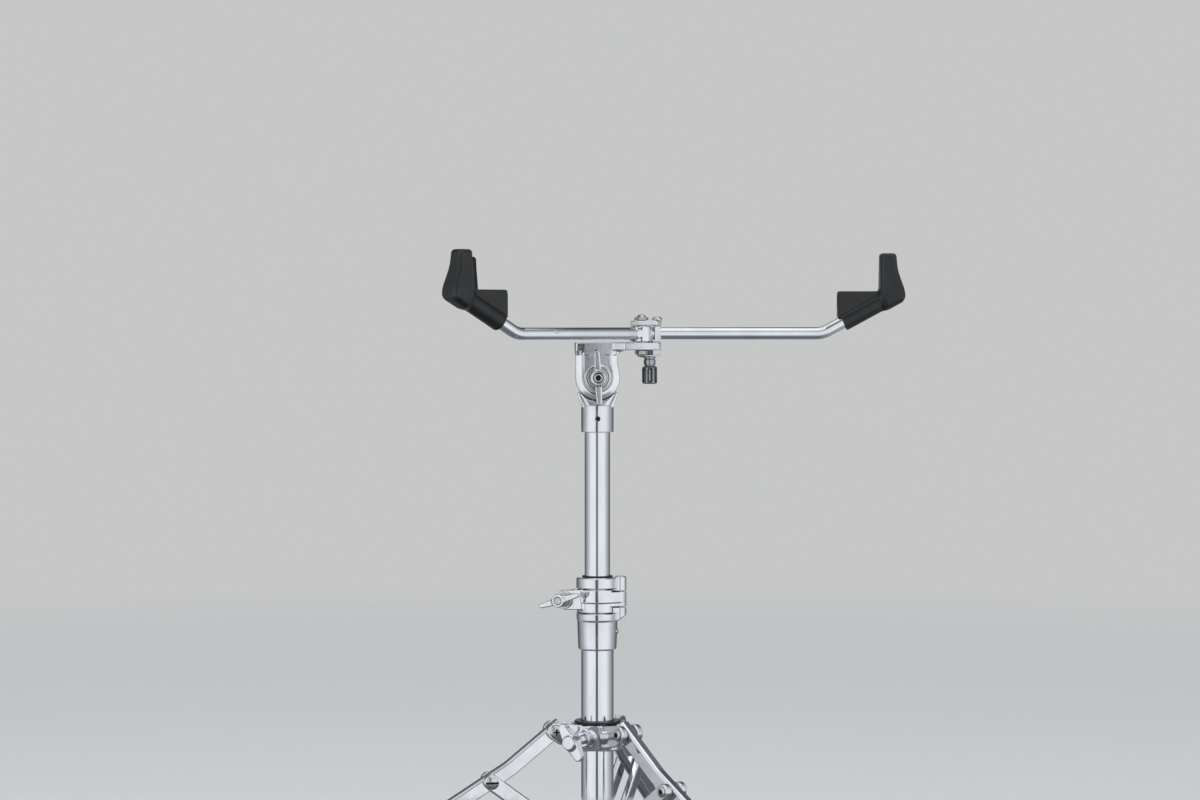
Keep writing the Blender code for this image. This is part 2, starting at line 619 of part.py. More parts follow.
hinge_pin = headed_pin("clamp_hinge_pin", HINGE_PIN_R, knuckle_foot - 0.6, knuckle_top + GAP,
                       HINGE_PIN_HEAD_R, 1.6, at_hinge)
node(hinge_pin, "nickel", column)
washer_low = EAR_THICKNESS + GAP
nut_low = washer_low + CLAMP_WASHER + GAP
stud_end = nut_low + CLAMP_NUT + 1.5
stud = headed_pin("clamp_stud", STUD_R, -stud_end, stud_seat + GAP, STUD_HEAD_R, 3.2,
                  stud_line @ Matrix.Rotation(math.pi, 4, "X"))
node(stud, "nickel", column)
lip_bore = upper_r + 0.4
lip_out = grip_bore - GAP
lip = [(lip_bore, JAW_TOP_Z + 1.0), (lip_out, JAW_TOP_Z + 1.0), (lip_out, CLAMP_TOP_Z + GAP)]
lip += [(grip_bore + 2.0, CLAMP_TOP_Z + GAP), (grip_bore + 1.4, CLAMP_TOP_Z + 1.9)]
lip += [(lip_bore, CLAMP_TOP_Z + 1.9)]
node(lathe("clamp_bushing", lip), "nylon", column)

# Hinged jaw with its ear.
jaw_swing = pivot("jaw_swing", (hinge_x, hinge_y, stud_z), column)
jaw = tube("clamp_jaw", CLAMP_R, upper_r + 0.5, JAW_BOTTOM_Z + GAP, JAW_TOP_Z - GAP)
rear = [(-far, 0.4), (far, 0.4), (far, far), (-far, far)]
cut(jaw, prism("jaw_rear_cut", rear, JAW_BOTTOM_Z - 5.0, JAW_TOP_Z + 5.0))
notch = [(web_x - 0.5, -far), (far, -far), (far, 10.0), (web_x - 0.5, 10.0)]
cut(jaw, prism("jaw_notch_low", notch, JAW_BOTTOM_Z - 5.0, KNUCKLE_LOW_Z + GAP))
cut(jaw, prism("jaw_notch_high", notch, KNUCKLE_HIGH_Z - GAP, JAW_TOP_Z + 5.0))
jaw_low = KNUCKLE_LOW_Z + GAP
jaw_high = KNUCKLE_HIGH_Z - GAP
fuse(jaw, rod("jaw_knuckle", KNUCKLE_R, jaw_low, jaw_high, at_hinge, 20))
jaw_web = [(web_x, -0.4), (web_x, -10.5), (hinge_x, hinge_y - KNUCKLE_R + 0.2), (hinge_x, -0.4)]
fuse(jaw, prism("jaw_web", jaw_web, jaw_low + 0.05, jaw_high - 0.05))
ear = [ear_at(0.0, -EAR_HALF), ear_at(EAR_THICKNESS, -EAR_HALF), ear_at(EAR_THICKNESS, EAR_HALF)]
ear += arc((0.0, 0.0), CLAMP_R - 1.1, 224.0, 212.0, 1)
fuse(jaw, prism("jaw_ear", ear, ear_low, ear_high))
cut(jaw, rod("ear_hole", STUD_R + 1.2, -3.0, EAR_THICKNESS + 7.0, stud_line))
cut(jaw, rod("hinge_hole_jaw", HINGE_PIN_R + GAP, hinge_low, hinge_high, at_hinge))
node(jaw, "casting", jaw_swing)
washer_slide = pivot("washer_slide", stud_line @ Vector((0.0, 0.0, washer_low)), column)
washer_high = washer_low + CLAMP_WASHER
nut_bore = STUD_R + PIN_GAP
washer = [(nut_bore, washer_low), (CLAMP_WASHER_R, washer_low)]
washer += [(CLAMP_WASHER_R, washer_high), (nut_bore, washer_high)]
node(lathe("clamp_washer", washer, stud_line, 20), "nickel", washer_slide)
nut_spin = pivot("clamp_nut_spin", stud_line @ Vector((0.0, 0.0, nut_low)), washer_slide)
nut = wing("clamp_wing_nut", stud_line, STUD_R + 3.3, nut_low, nut_low + CLAMP_NUT, CLAMP_WING_R, 4.6, 3.2,
           nut_low + 2.5, nut_low + CLAMP_NUT - 1.5, nut_bore, CLAMP_WING_TURN)
node(nut, "casting", nut_spin)

# Upper tube with its guide, and the tilter base fixed on top.
sleeve_bore = upper_r + GAP
tube_end = SLEEVE_TOP_Z - 6.0
node(tube("upper_tube", upper_r, upper_r - UPPER_TUBE_WALL, UPPER_TUBE_BOTTOM, tube_end), "chrome", lift)
guide_r = main_bore - GAP
guide_eye = upper_r - UPPER_TUBE_WALL - 1.1
guide_low = UPPER_TUBE_BOTTOM - 4.0
guide_high = UPPER_TUBE_BOTTOM + 12.0
guide = [(guide_eye, guide_low), (guide_r, guide_low), (guide_r, guide_high)]
guide += [(upper_r + 0.25, guide_high), (upper_r + 0.25, UPPER_TUBE_BOTTOM - GAP)]
guide += [(guide_eye, UPPER_TUBE_BOTTOM - GAP)]
node(lathe("tube_guide", guide), "nylon", lift)
sleeve = [(0.0, tube_end + GAP), (sleeve_bore, tube_end + GAP), (sleeve_bore, SLEEVE_BOTTOM_Z)]
sleeve += [(SLEEVE_R - 0.6, SLEEVE_BOTTOM_Z), (SLEEVE_R, SLEEVE_BOTTOM_Z + 0.8)]
sleeve += [(SLEEVE_R, SLEEVE_TOP_Z), (0.0, SLEEVE_TOP_Z + 1.5)]
tilter_base = node(lathe("tilter_base", sleeve, segments=32), "casting", lift)
front_plane = upright_plane(0.0)
neck_turn = 37.0
shoulder = [(SLEEVE_R + 0.1, SLEEVE_TOP_Z - 2.0), (SLEEVE_R + 0.7, SLEEVE_TOP_Z + 1.0)]
shoulder += [(TONGUE_R - 0.6, TILT_Z - SLEEVE_DROP + 10.0)]
tongue = [(-x, z) for x, z in shoulder]
tongue += arc((0.0, TILT_Z), TONGUE_R, 180.0 + neck_turn, -neck_turn, 20)
tongue += reversed(shoulder)
fuse(tilter_base, prism("tilter_tongue", tongue, -TONGUE_HALF, TONGUE_HALF, front_plane))
at_tilt = aligned((0.0, 0.0, TILT_Z), (0.0, -1.0, 0.0))
bolt_reach = CHEEK_OUTER_Y * 2.0
cut(tilter_base, rod("tongue_bolt_hole", TILT_BOLT_R + PIN_GAP, -bolt_reach, bolt_reach, at_tilt, 20))
pin_line = aligned((0.0, 0.0, SLEEVE_BOTTOM_Z + SLEEVE_LENGTH / 2.0 + 0.1), (0.0, -1.0, 0.0))
cut(tilter_base, rod("sleeve_hole", 1.7, upper_r + 1.0, SLEEVE_R + 6.5, pin_line, 12))
washer_out = CHEEK_OUTER_Y + GAP
bolt_end = washer_out + TILT_WASHER + TILT_NUT - 1.1
tilter_bolt = headed_pin("tilter_bolt", TILT_BOLT_R, -bolt_end, washer_out, TILT_BOLT_R + 3.2, 4.2,
                         at_tilt @ Matrix.Rotation(math.pi, 4, "X"), segments=18)
node(tilter_bolt, "nickel", lift)
ring_hole = TILT_BOLT_R + PIN_GAP
washer_face = washer_out + TILT_WASHER
tilt_washer = [(ring_hole, washer_out), (TILT_WASHER_R, washer_out)]
tilt_washer += [(TILT_WASHER_R, washer_face), (ring_hole, washer_face)]
node(lathe("tilter_washer", tilt_washer, at_tilt, 24), "nickel", lift)
tilt_nut_low = washer_face + GAP
tilt_nut_spin = pivot("tilt_nut_spin", (0.0, -tilt_nut_low, TILT_Z), lift)
tilt_nut_high = tilt_nut_low + TILT_NUT
tilt_nut = wing("tilter_wing_nut", at_tilt, TILT_BOLT_R + 3.4, tilt_nut_low, tilt_nut_high, TILT_WING_R,
                3.4, 2.4, tilt_nut_low + 3.0, tilt_nut_high - 2.0, ring_hole, 90.0)
node(tilt_nut, "casting", tilt_nut_spin)

# Tilter head: two cheeks, a bridge over the tongue and the lower hub plate.
rise = HUB_PLATE_HIGH - TILT_Z
plate_low = HUB_PLATE_LOW - TILT_Z
plan = [(-CHEEK_R, -CHEEK_OUTER_Y), (PIVOT_X - 24.5, -CHEEK_OUTER_Y), (PIVOT_X - 14.5, -HUB_HALF_WIDTH)]
plan += [(HUB_END_X - 3.0, -HUB_HALF_WIDTH), (HUB_END_X, 3.0 - HUB_HALF_WIDTH)]
plan += [(x, -y) for x, y in reversed(plan)]
head = prism("tilter_head", plan, HUB_PLATE_LOW, HUB_PLATE_HIGH)
cheek = [(-CHEEK_R, rise - 0.05)] + arc((0.0, 0.0), CHEEK_R, 180.0, 360.0, 16)
cheek += [(CHEEK_R - 1.9, plate_low - 10.7), (CHEEK_R - 2.1, plate_low - 5.7)]
cheek += [(CHEEK_R - 0.3, plate_low - 2.6), (CHEEK_R + 3.2, plate_low - 0.6)]
cheek += [(CHEEK_R + 7.7, plate_low + 0.6), (CHEEK_R + 7.7, rise - 0.05)]
cheek = [(x, z + TILT_Z) for x, z in cheek]
cheek_gap = TONGUE_HALF + HEAD_CLEARANCE
fuse(head, prism("cheek_front", cheek, -CHEEK_OUTER_Y + 0.05, -cheek_gap, front_plane))
fuse(head, prism("cheek_rear", cheek, cheek_gap, CHEEK_OUTER_Y - 0.05, front_plane))
bridge_x = CHEEK_R - 3.3
bridge_y = CHEEK_OUTER_Y - 0.1
bridge_end = 0.1 - CHEEK_R
bridge = [(bridge_end, -bridge_y), (bridge_x, -bridge_y), (bridge_x, bridge_y), (bridge_end, bridge_y)]
fuse(head, prism("bridge", bridge, HUB_PLATE_LOW - BRIDGE, HUB_PLATE_LOW + 1.0))
cut(head, rod("head_bolt_hole", TILT_BOLT_R + PIN_GAP, -bolt_reach, bolt_reach, at_tilt, 20))
at_knob = Matrix.Translation((KNOB_X, 0.0, 0.0))
cut(head, rod("knob_hole", PIN_R + PIN_GAP, HUB_PLATE_LOW - 5.0, HUB_PLATE_HIGH + 5.0, at_knob))

# Hub cap: top plate with an end wall that carries the right arm.
cap_plan = [(PIVOT_X - 9.5, 4.0 - HUB_HALF_WIDTH), (PIVOT_X - 5.5, -HUB_HALF_WIDTH)]
cap_plan += [(HUB_END_X - 4.0, -HUB_HALF_WIDTH), (HUB_END_X, 4.0 - HUB_HALF_WIDTH)]
cap_plan += [(x, -y) for x, y in reversed(cap_plan)]
hub_cap = prism("hub_cap", cap_plan, HUB_CAP_LOW, HUB_CAP_HIGH)
wall_low = HUB_PLATE_HIGH + GAP
wall_half = ARM_R + 3.5
wall_out = HUB_END_X - 0.05
wall_in = HUB_END_X - HUB_WALL
wall = [(wall_in, -wall_half), (wall_out, -wall_half), (wall_out, wall_half), (wall_in, wall_half)]
fuse(hub_cap, prism("hub_wall", wall, wall_low, HUB_CAP_LOW + 1.0))
arm_line = aligned((0.0, 0.0, ARM_Z), (1.0, 0.0, 0.0))
cut(hub_cap, rod("arm_socket", ARM_R + GAP, HUB_END_X - 12.0, HUB_END_X + 8.0, arm_line, 20))
screw_x = HUB_END_X - HUB_WALL / 2.0 - 0.1
screw_seat = HUB_CAP_HIGH - HUB_CAP * 0.75
at_screw = Matrix.Translation((screw_x, 0.0, 0.0))
cut(hub_cap, rod("socket_screw_hole", 1.8, screw_seat, HUB_CAP_HIGH + 4.0, at_screw))
socket_screw = headed_pin("socket_screw", 1.5, screw_seat + GAP, HUB_CAP_HIGH + GAP, 4.2, 3.4, at_screw)
node(socket_screw, "nickel", tilt)
for label, sign in (("front", -1.0), ("rear", 1.0)):
    at_bolt = Matrix.Translation((PIVOT_X, sign * PIVOT_Y, 0.0))
    hole_r = PIN_R + PIN_GAP
    cut(head, rod(label + "_pivot_hole_low", hole_r, HUB_PLATE_LOW - 5.0, HUB_PLATE_HIGH + 5.0, at_bolt))
    cut(hub_cap, rod(label + "_pivot_hole", hole_r, HUB_CAP_LOW - 5.0, HUB_CAP_HIGH + 5.0, at_bolt))
    pivot_bolt = headed_pin(label + "_pivot_bolt", PIN_R, HUB_PLATE_LOW - GAP, HUB_CAP_HIGH + GAP,
                            PIN_HEAD_R, 5.0, at_bolt, 5.0, 6.2)
    node(pivot_bolt, "nickel", tilt)
node(head, "casting", tilt)
node(hub_cap, "casting", tilt)

# Strap that keeps the thumb screw, and the fluted thumb screw itself.
strap_x = HUB_END_X + GAP
strap_low = HUB_PLATE_LOW - STRAP_DROP
strap_high = strap_low + STRAP_THICKNESS
strap_path = [(KNOB_X - 6.0, strap_low), (strap_x + STRAP_THICKNESS, strap_low)]
strap_path += [(strap_x + STRAP_THICKNESS, HUB_PLATE_HIGH), (strap_x, HUB_PLATE_HIGH)]
strap_path += [(strap_x, strap_high), (KNOB_X - 6.0, strap_high)]
strap = prism("arm_strap", strap_path, -STRAP_HALF, STRAP_HALF, front_plane)
cut(strap, rod("strap_hole", PIN_R + PIN_GAP, strap_low - 3.0, strap_high + 3.0, at_knob))
node(strap, "chrome", tilt)
knob_spin = pivot("knob_spin", (KNOB_X, 0.0, strap_low), tilt)
collar_top = strap_low - GAP
grip_top = collar_top - KNOB_COLLAR
grip_low = grip_top - KNOB_GRIP
screw_tip = ARM_Z - ARM_R - 0.4
knob_profile = [(0.0, grip_low), (KNOB_R - 1.6, grip_low), (KNOB_COLLAR_R, grip_top)]
knob_profile += [(KNOB_COLLAR_R, collar_top), (PIN_R, collar_top), (PIN_R, screw_tip), (0.0, screw_tip)]
knob = lathe("basket_knob", knob_profile, at_knob, 24)
flutes = []
for k in range(36):
    turn = 2.0 * math.pi * k / 36
    reach = KNOB_R + 0.45 * math.cos(12.0 * turn)
    flutes.append((KNOB_X + reach * math.cos(turn), reach * math.sin(turn)))
fuse(knob, prism("knob_grip", flutes, grip_low + 0.8, grip_top - 0.2))
node(knob, "nickel", knob_spin)

# Arms end in an upward bend that carries a rubber claw.
slope = math.radians(ARM_END_SLOPE)


def arm_path(start, finger):
    corner = (finger - ARM_BEND_BACK, ARM_Z)
    run = ARM_BEND_BACK + 3.0
    tip = (corner[0] + run, ARM_Z + run * math.tan(slope))
    return bent((start, ARM_Z), corner, tip, ARM_BEND_R, 4)


def claw(name, finger, plane, body):
    corner = finger - ARM_BEND_BACK

    def spot(s, z):
        return (finger + s, ARM_Z + z)

    line_start = plane @ Vector((corner, ARM_Z, 0.0))
    line_dir = plane.to_3x3() @ Vector((math.cos(slope), math.sin(slope), 0.0))
    line = aligned(line_start, line_dir)
    start = 17.0 / math.cos(slope)
    end = (ARM_BEND_BACK + 13.0) / math.cos(slope)
    shape = rod(name, CLAW_SLEEVE_R, start, end, line, 20)
    low = CLAW_REST - 23.0
    rest = [spot(-CLAW_REST_LENGTH, CLAW_REST), spot(3.0, CLAW_REST), spot(9.0, CLAW_REST - 5.0)]
    rest += [spot(12.5 - CLAW_REST_LENGTH, low), spot(-CLAW_REST_LENGTH, low + 0.6)]
    fuse(shape, prism(name + "_rest", rest, -CLAW_REST_HALF, CLAW_REST_HALF, plane))
    back = CLAW_FINGER
    side = [(0.0, CLAW_REST - 6.0), (0.0, CLAW_TOP - 1.6), (1.6, CLAW_TOP), (back - 8.8, CLAW_TOP)]
    side += [(back - 7.1, CLAW_TOP - 1.8), (back - 5.0, CLAW_TOP - 11.5), (back - 1.8, CLAW_REST + 4.0)]
    side += [(back, CLAW_REST - 3.0), (back - 2.8, CLAW_REST - 8.5), (8.0, CLAW_REST - 11.0)]
    bm = bmesh.new()
    rows = []
    for sign in (1.0, -1.0):
        row = []
        for s, z in side:
            share = min(max((z - CLAW_REST) / (CLAW_TOP - CLAW_REST), 0.0), 1.0)
            half = CLAW_HALF_LOW + (CLAW_HALF_HIGH - CLAW_HALF_LOW) * share
            u, v = spot(s, z)
            row.append(bm.verts.new((u, v, sign * half)))
        rows.append(row)
    bm.faces.new(rows[0])
    bm.faces.new(rows[1])
    for k in range(len(side)):
        j = (k + 1) % len(side)
        bm.faces.new((rows[0][k], rows[0][j], rows[1][j], rows[1][k]))
    fuse(shape, to_object(name + "_finger", bm, plane))
    bore_end = (ARM_BEND_BACK + 3.4) / math.cos(slope)
    cut(shape, rod(name + "_bore", ARM_R + GAP, start - 5.0, bore_end, line, 16))
    slot_high = CLAW_REST - CLAW_ROOF
    slot_low = slot_high - CLAW_SLOT
    slot_out = -CLAW_REST_LENGTH - 3.0
    slot = [spot(slot_out, slot_low), spot(slot_out, slot_high)]
    slot += [spot(-CLAW_SLOT_BACK, slot_high), spot(-CLAW_SLOT_BACK - 6.0, slot_low)]
    cut(shape, prism(name + "_slot", slot, -CLAW_SLOT_HALF, CLAW_SLOT_HALF, plane))
    node(shape, "rubber", body)


arm_slide = pivot("right_arm_slide", (HUB_END_X, 0.0, ARM_Z), tilt)
right_path = arm_path(RIGHT_ARM_INNER_X, RIGHT_FINGER_X)
right_arm = sweep("right_arm", right_path, circle(ARM_R, 16), front_plane)
node(right_arm, "chrome", arm_slide)
claw("right_claw", RIGHT_FINGER_X, front_plane, arm_slide)
eye_half = (HUB_CAP_LOW - HUB_PLATE_HIGH) / 2.0 - 0.5
eye_mid = (HUB_CAP_LOW + HUB_PLATE_HIGH) / 2.0
for label, sign in (("front_left", -1.0), ("rear_left", 1.0)):
    azimuth = 180.0 - sign * LEFT_ARM_TURN
    hinge = (PIVOT_X, sign * PIVOT_Y, 0.0)
    arm_swing = pivot(label + "_swing", (hinge[0], hinge[1], ARM_Z), tilt)
    plane = upright_plane(azimuth, hinge)
    arm = sweep(label + "_arm", arm_path(EYE_R - 2.9, LEFT_ARM_REACH), circle(ARM_R, 16), plane)
    at_eye = Matrix.Translation(hinge)
    eye = rod(label + "_eye", EYE_R, eye_mid - eye_half, eye_mid + eye_half, at_eye, 24)
    fuse(arm, eye)
    cut(arm, rod(label + "_eye_hole", PIN_R + PIN_GAP, ARM_Z - 20.0, ARM_Z + 20.0, at_eye))
    node(arm, "chrome", arm_swing)
    claw(label + "_claw", LEFT_ARM_REACH, plane, arm_swing)


def footprint_centre():
    bpy.context.view_layer.update()
    graph = bpy.context.evaluated_depsgraph_get()
    low = Vector((1e9, 1e9))
    high = Vector((-1e9, -1e9))
    for shape in bpy.data.objects:
        if shape.type != "MESH" or shape.hide_render:
            continue
        done = shape.evaluated_get(graph)
        for vertex in done.data.vertices:
            spot = done.matrix_world @ vertex.co
            low = Vector((min(low.x, spot.x), min(low.y, spot.y)))
            high = Vector((max(high.x, spot.x), max(high.y, spot.y)))
    return (low + high) / 2.0


centre = footprint_centre()
root.location = (-centre.x, -centre.y, -floor_z * MM)
bpy.context.view_layer.update()
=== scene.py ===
# Dresses the folding drum stand: chrome tubes and castings, nickel screws, black nylon and rubber claws.
# Sizes are millimetres from the column's axis, with x to the right, y to the back and z up from the floor.
import json
import math

import bpy
import numpy as np
from mathutils import Matrix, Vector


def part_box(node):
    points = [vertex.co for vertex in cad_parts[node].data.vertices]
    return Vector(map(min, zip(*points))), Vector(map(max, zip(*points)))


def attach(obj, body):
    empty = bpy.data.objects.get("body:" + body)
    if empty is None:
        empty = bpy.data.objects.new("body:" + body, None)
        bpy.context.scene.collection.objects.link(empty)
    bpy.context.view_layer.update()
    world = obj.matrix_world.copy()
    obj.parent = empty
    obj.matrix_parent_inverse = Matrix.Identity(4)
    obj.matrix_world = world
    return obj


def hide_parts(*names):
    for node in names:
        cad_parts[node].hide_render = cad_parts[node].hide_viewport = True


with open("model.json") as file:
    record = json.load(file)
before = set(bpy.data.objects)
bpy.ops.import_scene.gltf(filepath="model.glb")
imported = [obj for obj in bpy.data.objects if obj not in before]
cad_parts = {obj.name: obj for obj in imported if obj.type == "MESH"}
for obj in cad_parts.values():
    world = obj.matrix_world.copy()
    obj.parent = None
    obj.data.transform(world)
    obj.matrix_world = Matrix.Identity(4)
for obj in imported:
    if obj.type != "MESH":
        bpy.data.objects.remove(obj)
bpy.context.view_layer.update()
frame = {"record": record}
tubeLow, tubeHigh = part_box("main_tube")
columnFoot = np.array([(tubeLow.x + tubeHigh.x) / 2, (tubeLow.y + tubeHigh.y) / 2, 0.0])
bodyOf = {node: body for body, nodes in frame["record"]["behaviour"]["bodies"].items() for node in nodes}
legTurns = {"left": 190.0, "right": 310.0, "rear": 70.0}
zUp = np.array([0.0, 0.0, 1.0])
toMetres = 0.001


def unit(way):
    return np.asarray(way, float) / np.linalg.norm(way)


def turnWays(turnDegrees):
    # Level directions, outward and sideways, at a turn about the column.
    turn = math.radians(turnDegrees)
    outWay = np.array([math.cos(turn), math.sin(turn), 0.0])
    return outWay, np.array([-outWay[1], outWay[0], 0.0])


def levelFrame(way):
    # Right-handed frame with its z axis along the way and its x axis level.
    zWay = unit(way)
    xWay = np.cross(zUp, zWay)
    xWay = unit(xWay) if np.linalg.norm(xWay) > 1e-6 else np.array([1.0, 0.0, 0.0])
    return xWay, np.cross(zWay, xWay), zWay


def ramp(value, start, end):
    # Nought before the start, one after the end, straight between.
    return np.clip((value - start) / (end - start), 0.0, 1.0)


def eased(share):
    # Ramp with level ends: three squares less two cubes.
    return share * share * (3 - 2 * share)


# Finishes

def startFinish(name):
    material = bpy.data.materials.new(name)
    material.use_nodes = True
    return material, material.node_tree, material.node_tree.nodes["Principled BSDF"]


def noiseOf(tree, scale, detail, stretch=(1.0, 1.0, 1.0)):
    coords = tree.nodes.new("ShaderNodeTexCoord")
    mapping = tree.nodes.new("ShaderNodeMapping")
    mapping.inputs["Scale"].default_value = stretch
    noise = tree.nodes.new("ShaderNodeTexNoise")
    noise.inputs["Scale"].default_value = scale
    noise.inputs["Detail"].default_value = detail
    tree.links.new(coords.outputs["Object"], mapping.inputs["Vector"])
    tree.links.new(mapping.outputs["Vector"], noise.inputs["Vector"])
    return noise.outputs["Fac"]


def attributeOf(tree, name):
    reader = tree.nodes.new("ShaderNodeAttribute")
    reader.attribute_name = name
    return reader.outputs["Fac"]


def rangeOf(tree, value, fromLow, fromHigh, toLow, toHigh):
    node = tree.nodes.new("ShaderNodeMapRange")
    sockets = ("From Min", "From Max", "To Min", "To Max")
    for socket, number in zip(sockets, (fromLow, fromHigh, toLow, toHigh)):
        node.inputs[socket].default_value = number
    tree.links.new(value, node.inputs["Value"])
    return node.outputs["Result"]


def mixTint(tree, share, first, second):
    node = tree.nodes.new("ShaderNodeMix")
    node.data_type = "RGBA"
    tree.links.new(share, node.inputs["Factor"])
    for socket, tint in ((node.inputs[6], first), (node.inputs[7], second)):
        if isinstance(tint, tuple):
            socket.default_value = (*tint, 1.0)
        else:
            tree.links.new(tint, socket)
    return node.outputs[2]


def mathOf(tree, operation, first, second):
    node = tree.nodes.new("ShaderNodeMath")
    node.operation = operation
    tree.links.new(first, node.inputs[0])
    tree.links.new(second, node.inputs[1])
    return node.outputs[0]


def bumpOf(tree, height, distance, before=None):
    node = tree.nodes.new("ShaderNodeBump")
    node.inputs["Strength"].default_value = 1.0
    node.inputs["Distance"].default_value = distance
    tree.links.new(height, node.inputs["Height"])
    if before is not None:
        tree.links.new(before, node.inputs["Normal"])
    return node.outputs["Normal"]


# Each look's last tint is the near-black colour of painted shade in recesses, holes and gaps.
tubeChromeLook = {"clean": (0.80, 0.815, 0.84), "hazy": (0.70, 0.72, 0.75), "worn": (0.84, 0.83, 0.81),
                  "gloss": (0.035, 0.10), "ripple": 0.000012, "peel": 0.0, "sunk": (0.012, 0.011, 0.010)}
castChromeLook = {"clean": (0.78, 0.79, 0.815), "hazy": (0.66, 0.68, 0.71), "worn": (0.86, 0.85, 0.83),
                  "gloss": (0.06, 0.15), "ripple": 0.00002, "peel": 0.000016, "sunk": (0.010, 0.009, 0.009)}
nickelLook = {"clean": (0.63, 0.615, 0.59), "hazy": (0.50, 0.485, 0.46), "worn": (0.76, 0.75, 0.72),
              "gloss": (0.14, 0.28), "ripple": 0.0, "peel": 0.00001, "sunk": (0.020, 0.015, 0.011)}
darkPlateLook = {"clean": (0.40, 0.41, 0.43), "hazy": (0.30, 0.31, 0.33), "worn": (0.62, 0.63, 0.65),
                 "gloss": (0.10, 0.20), "ripple": 0.0, "peel": 0.00001, "sunk": (0.008, 0.008, 0.009)}
plateGrain = {"haze": 55.0, "gloss": 140.0, "ripple": 110.0, "peel": 420.0}   # noise scales, per metre


def platedMetal(name, look, drawn=(1.0, 1.0, 1.0)):
    # Plate: faint haze over the clean colour, brighter worn edges, painted shade, near black, in sunk
    # places, wavy gloss.
    material, tree, shader = startFinish(name)
    haze = rangeOf(tree, noiseOf(tree, plateGrain["haze"], 4.0, drawn), 0.42, 0.72, 0.0, 1.0)
    wear = attributeOf(tree, "wear")
    sunk = attributeOf(tree, "sunk")
    plate = mixTint(tree, haze, look["clean"], look["hazy"])
    plate = mixTint(tree, rangeOf(tree, wear, 0.2, 1.0, 0.0, 0.7), plate, look["worn"])
    plate = mixTint(tree, rangeOf(tree, sunk, 0.0, 1.0, 0.0, 0.97), plate, look["sunk"])
    tree.links.new(plate, shader.inputs["Base Color"])
    lowGloss, highGloss = look["gloss"]
    gloss = rangeOf(tree, noiseOf(tree, plateGrain["gloss"], 5.0, drawn), 0.35, 0.7, lowGloss, highGloss)
    gloss = mathOf(tree, "ADD", gloss, rangeOf(tree, sunk, 0.0, 1.0, 0.0, 0.35))
    tree.links.new(gloss, shader.inputs["Roughness"])
    shader.inputs["Metallic"].default_value = 1.0
    normal = None
    if look["ripple"] > 0.0:
        normal = bumpOf(tree, noiseOf(tree, plateGrain["ripple"], 1.0, drawn), look["ripple"])
    if look["peel"] > 0.0:
        normal = bumpOf(tree, noiseOf(tree, plateGrain["peel"], 2.0), look["peel"], normal)
    tree.links.new(normal, shader.inputs["Normal"])
    return material


rubberLook = {"dark": (0.0035, 0.0038, 0.0046), "pale": (0.0075, 0.008, 0.0095),
              "worn": (0.030, 0.032, 0.036), "gloss": (0.28, 0.38), "grain": 0.00005, "mould": 0.00008,
              "shine": 0.44}
nylonLook = {"dark": (0.006, 0.006, 0.007), "pale": (0.011, 0.011, 0.012), "worn": (0.025, 0.025, 0.027),
             "gloss": (0.30, 0.44), "grain": 0.00002, "mould": 0.00004, "shine": 0.4}
mouldGrain = {"clouds": 120.0, "gloss": 900.0, "mould": 160.0, "grain": 2300.0}   # noise scales, per metre


def mouldedBlack(name, look):
    # Moulding: dark and pale clouds, edges rubbed paler and smoother, fine grain over slow waves.
    material, tree, shader = startFinish(name)
    clouds = rangeOf(tree, noiseOf(tree, mouldGrain["clouds"], 5.0), 0.35, 0.7, 0.0, 1.0)
    wear = attributeOf(tree, "wear")
    tint = mixTint(tree, clouds, look["dark"], look["pale"])
    tint = mixTint(tree, rangeOf(tree, wear, 0.15, 1.0, 0.0, 0.75), tint, look["worn"])
    tree.links.new(tint, shader.inputs["Base Color"])
    lowGloss, highGloss = look["gloss"]
    gloss = rangeOf(tree, noiseOf(tree, mouldGrain["gloss"], 3.0), 0.3, 0.7, lowGloss, highGloss)
    gloss = mathOf(tree, "ADD", gloss, rangeOf(tree, wear, 0.0, 1.0, 0.0, -0.08))
    tree.links.new(gloss, shader.inputs["Roughness"])
    shader.inputs["Specular IOR Level"].default_value = look["shine"]
    normal = bumpOf(tree, noiseOf(tree, mouldGrain["mould"], 2.0), look["mould"])
    normal = bumpOf(tree, noiseOf(tree, mouldGrain["grain"], 2.0), look["grain"], normal)
    tree.links.new(normal, shader.inputs["Normal"])
    return material


tubeChrome = platedMetal("tubeChrome", tubeChromeLook, (1.0, 1.0, 0.25))
barChrome = platedMetal("barChrome", tubeChromeLook)
castChrome = platedMetal("castChrome", castChromeLook)
screwNickel = platedMetal("screwNickel", nickelLook)
knobPlate = platedMetal("knobPlate", darkPlateLook)
clawRubber = mouldedBlack("clawRubber", rubberLook)
ringNylon = mouldedBlack("ringNylon", nylonLook)
print("finishes: 7")


# Meshes: a skin holds points, normals, wear and painted-shade shares, and faces

pointKeys = ("points", "normals", "wear", "sunk")


def tidySkin(skin):
    # Drops points that no face uses.
    used = np.unique(np.concatenate([f.ravel() for f in skin["faces"]]))
    place = np.full(len(skin["points"]), -1)
    place[used] = np.arange(len(used))
    tidy = {key: skin[key][used] for key in pointKeys}
    tidy["faces"] = [place[f] for f in skin["faces"]]
    return tidy


def joined(*skins):
    # Several closed skins in one mesh.
    starts = np.cumsum([0] + [len(s["points"]) for s in skins])
    whole = {key: np.concatenate([s[key] for s in skins]) for key in pointKeys}
    whole["faces"] = [f + start for s, start in zip(skins, starts) for f in s["faces"]]
    return whole


def placed(skin, origin, xWay, yWay, zWay):
    # Carries a skin from its own frame to the column's frame.
    turn = np.array([xWay, yWay, zWay], float)
    points = skin["points"] @ turn + np.asarray(origin, float)
    return {**skin, "points": points, "normals": skin["normals"] @ turn}


def shifted(skin, place):
    return {**skin, "points": skin["points"] + np.asarray(place, float)}


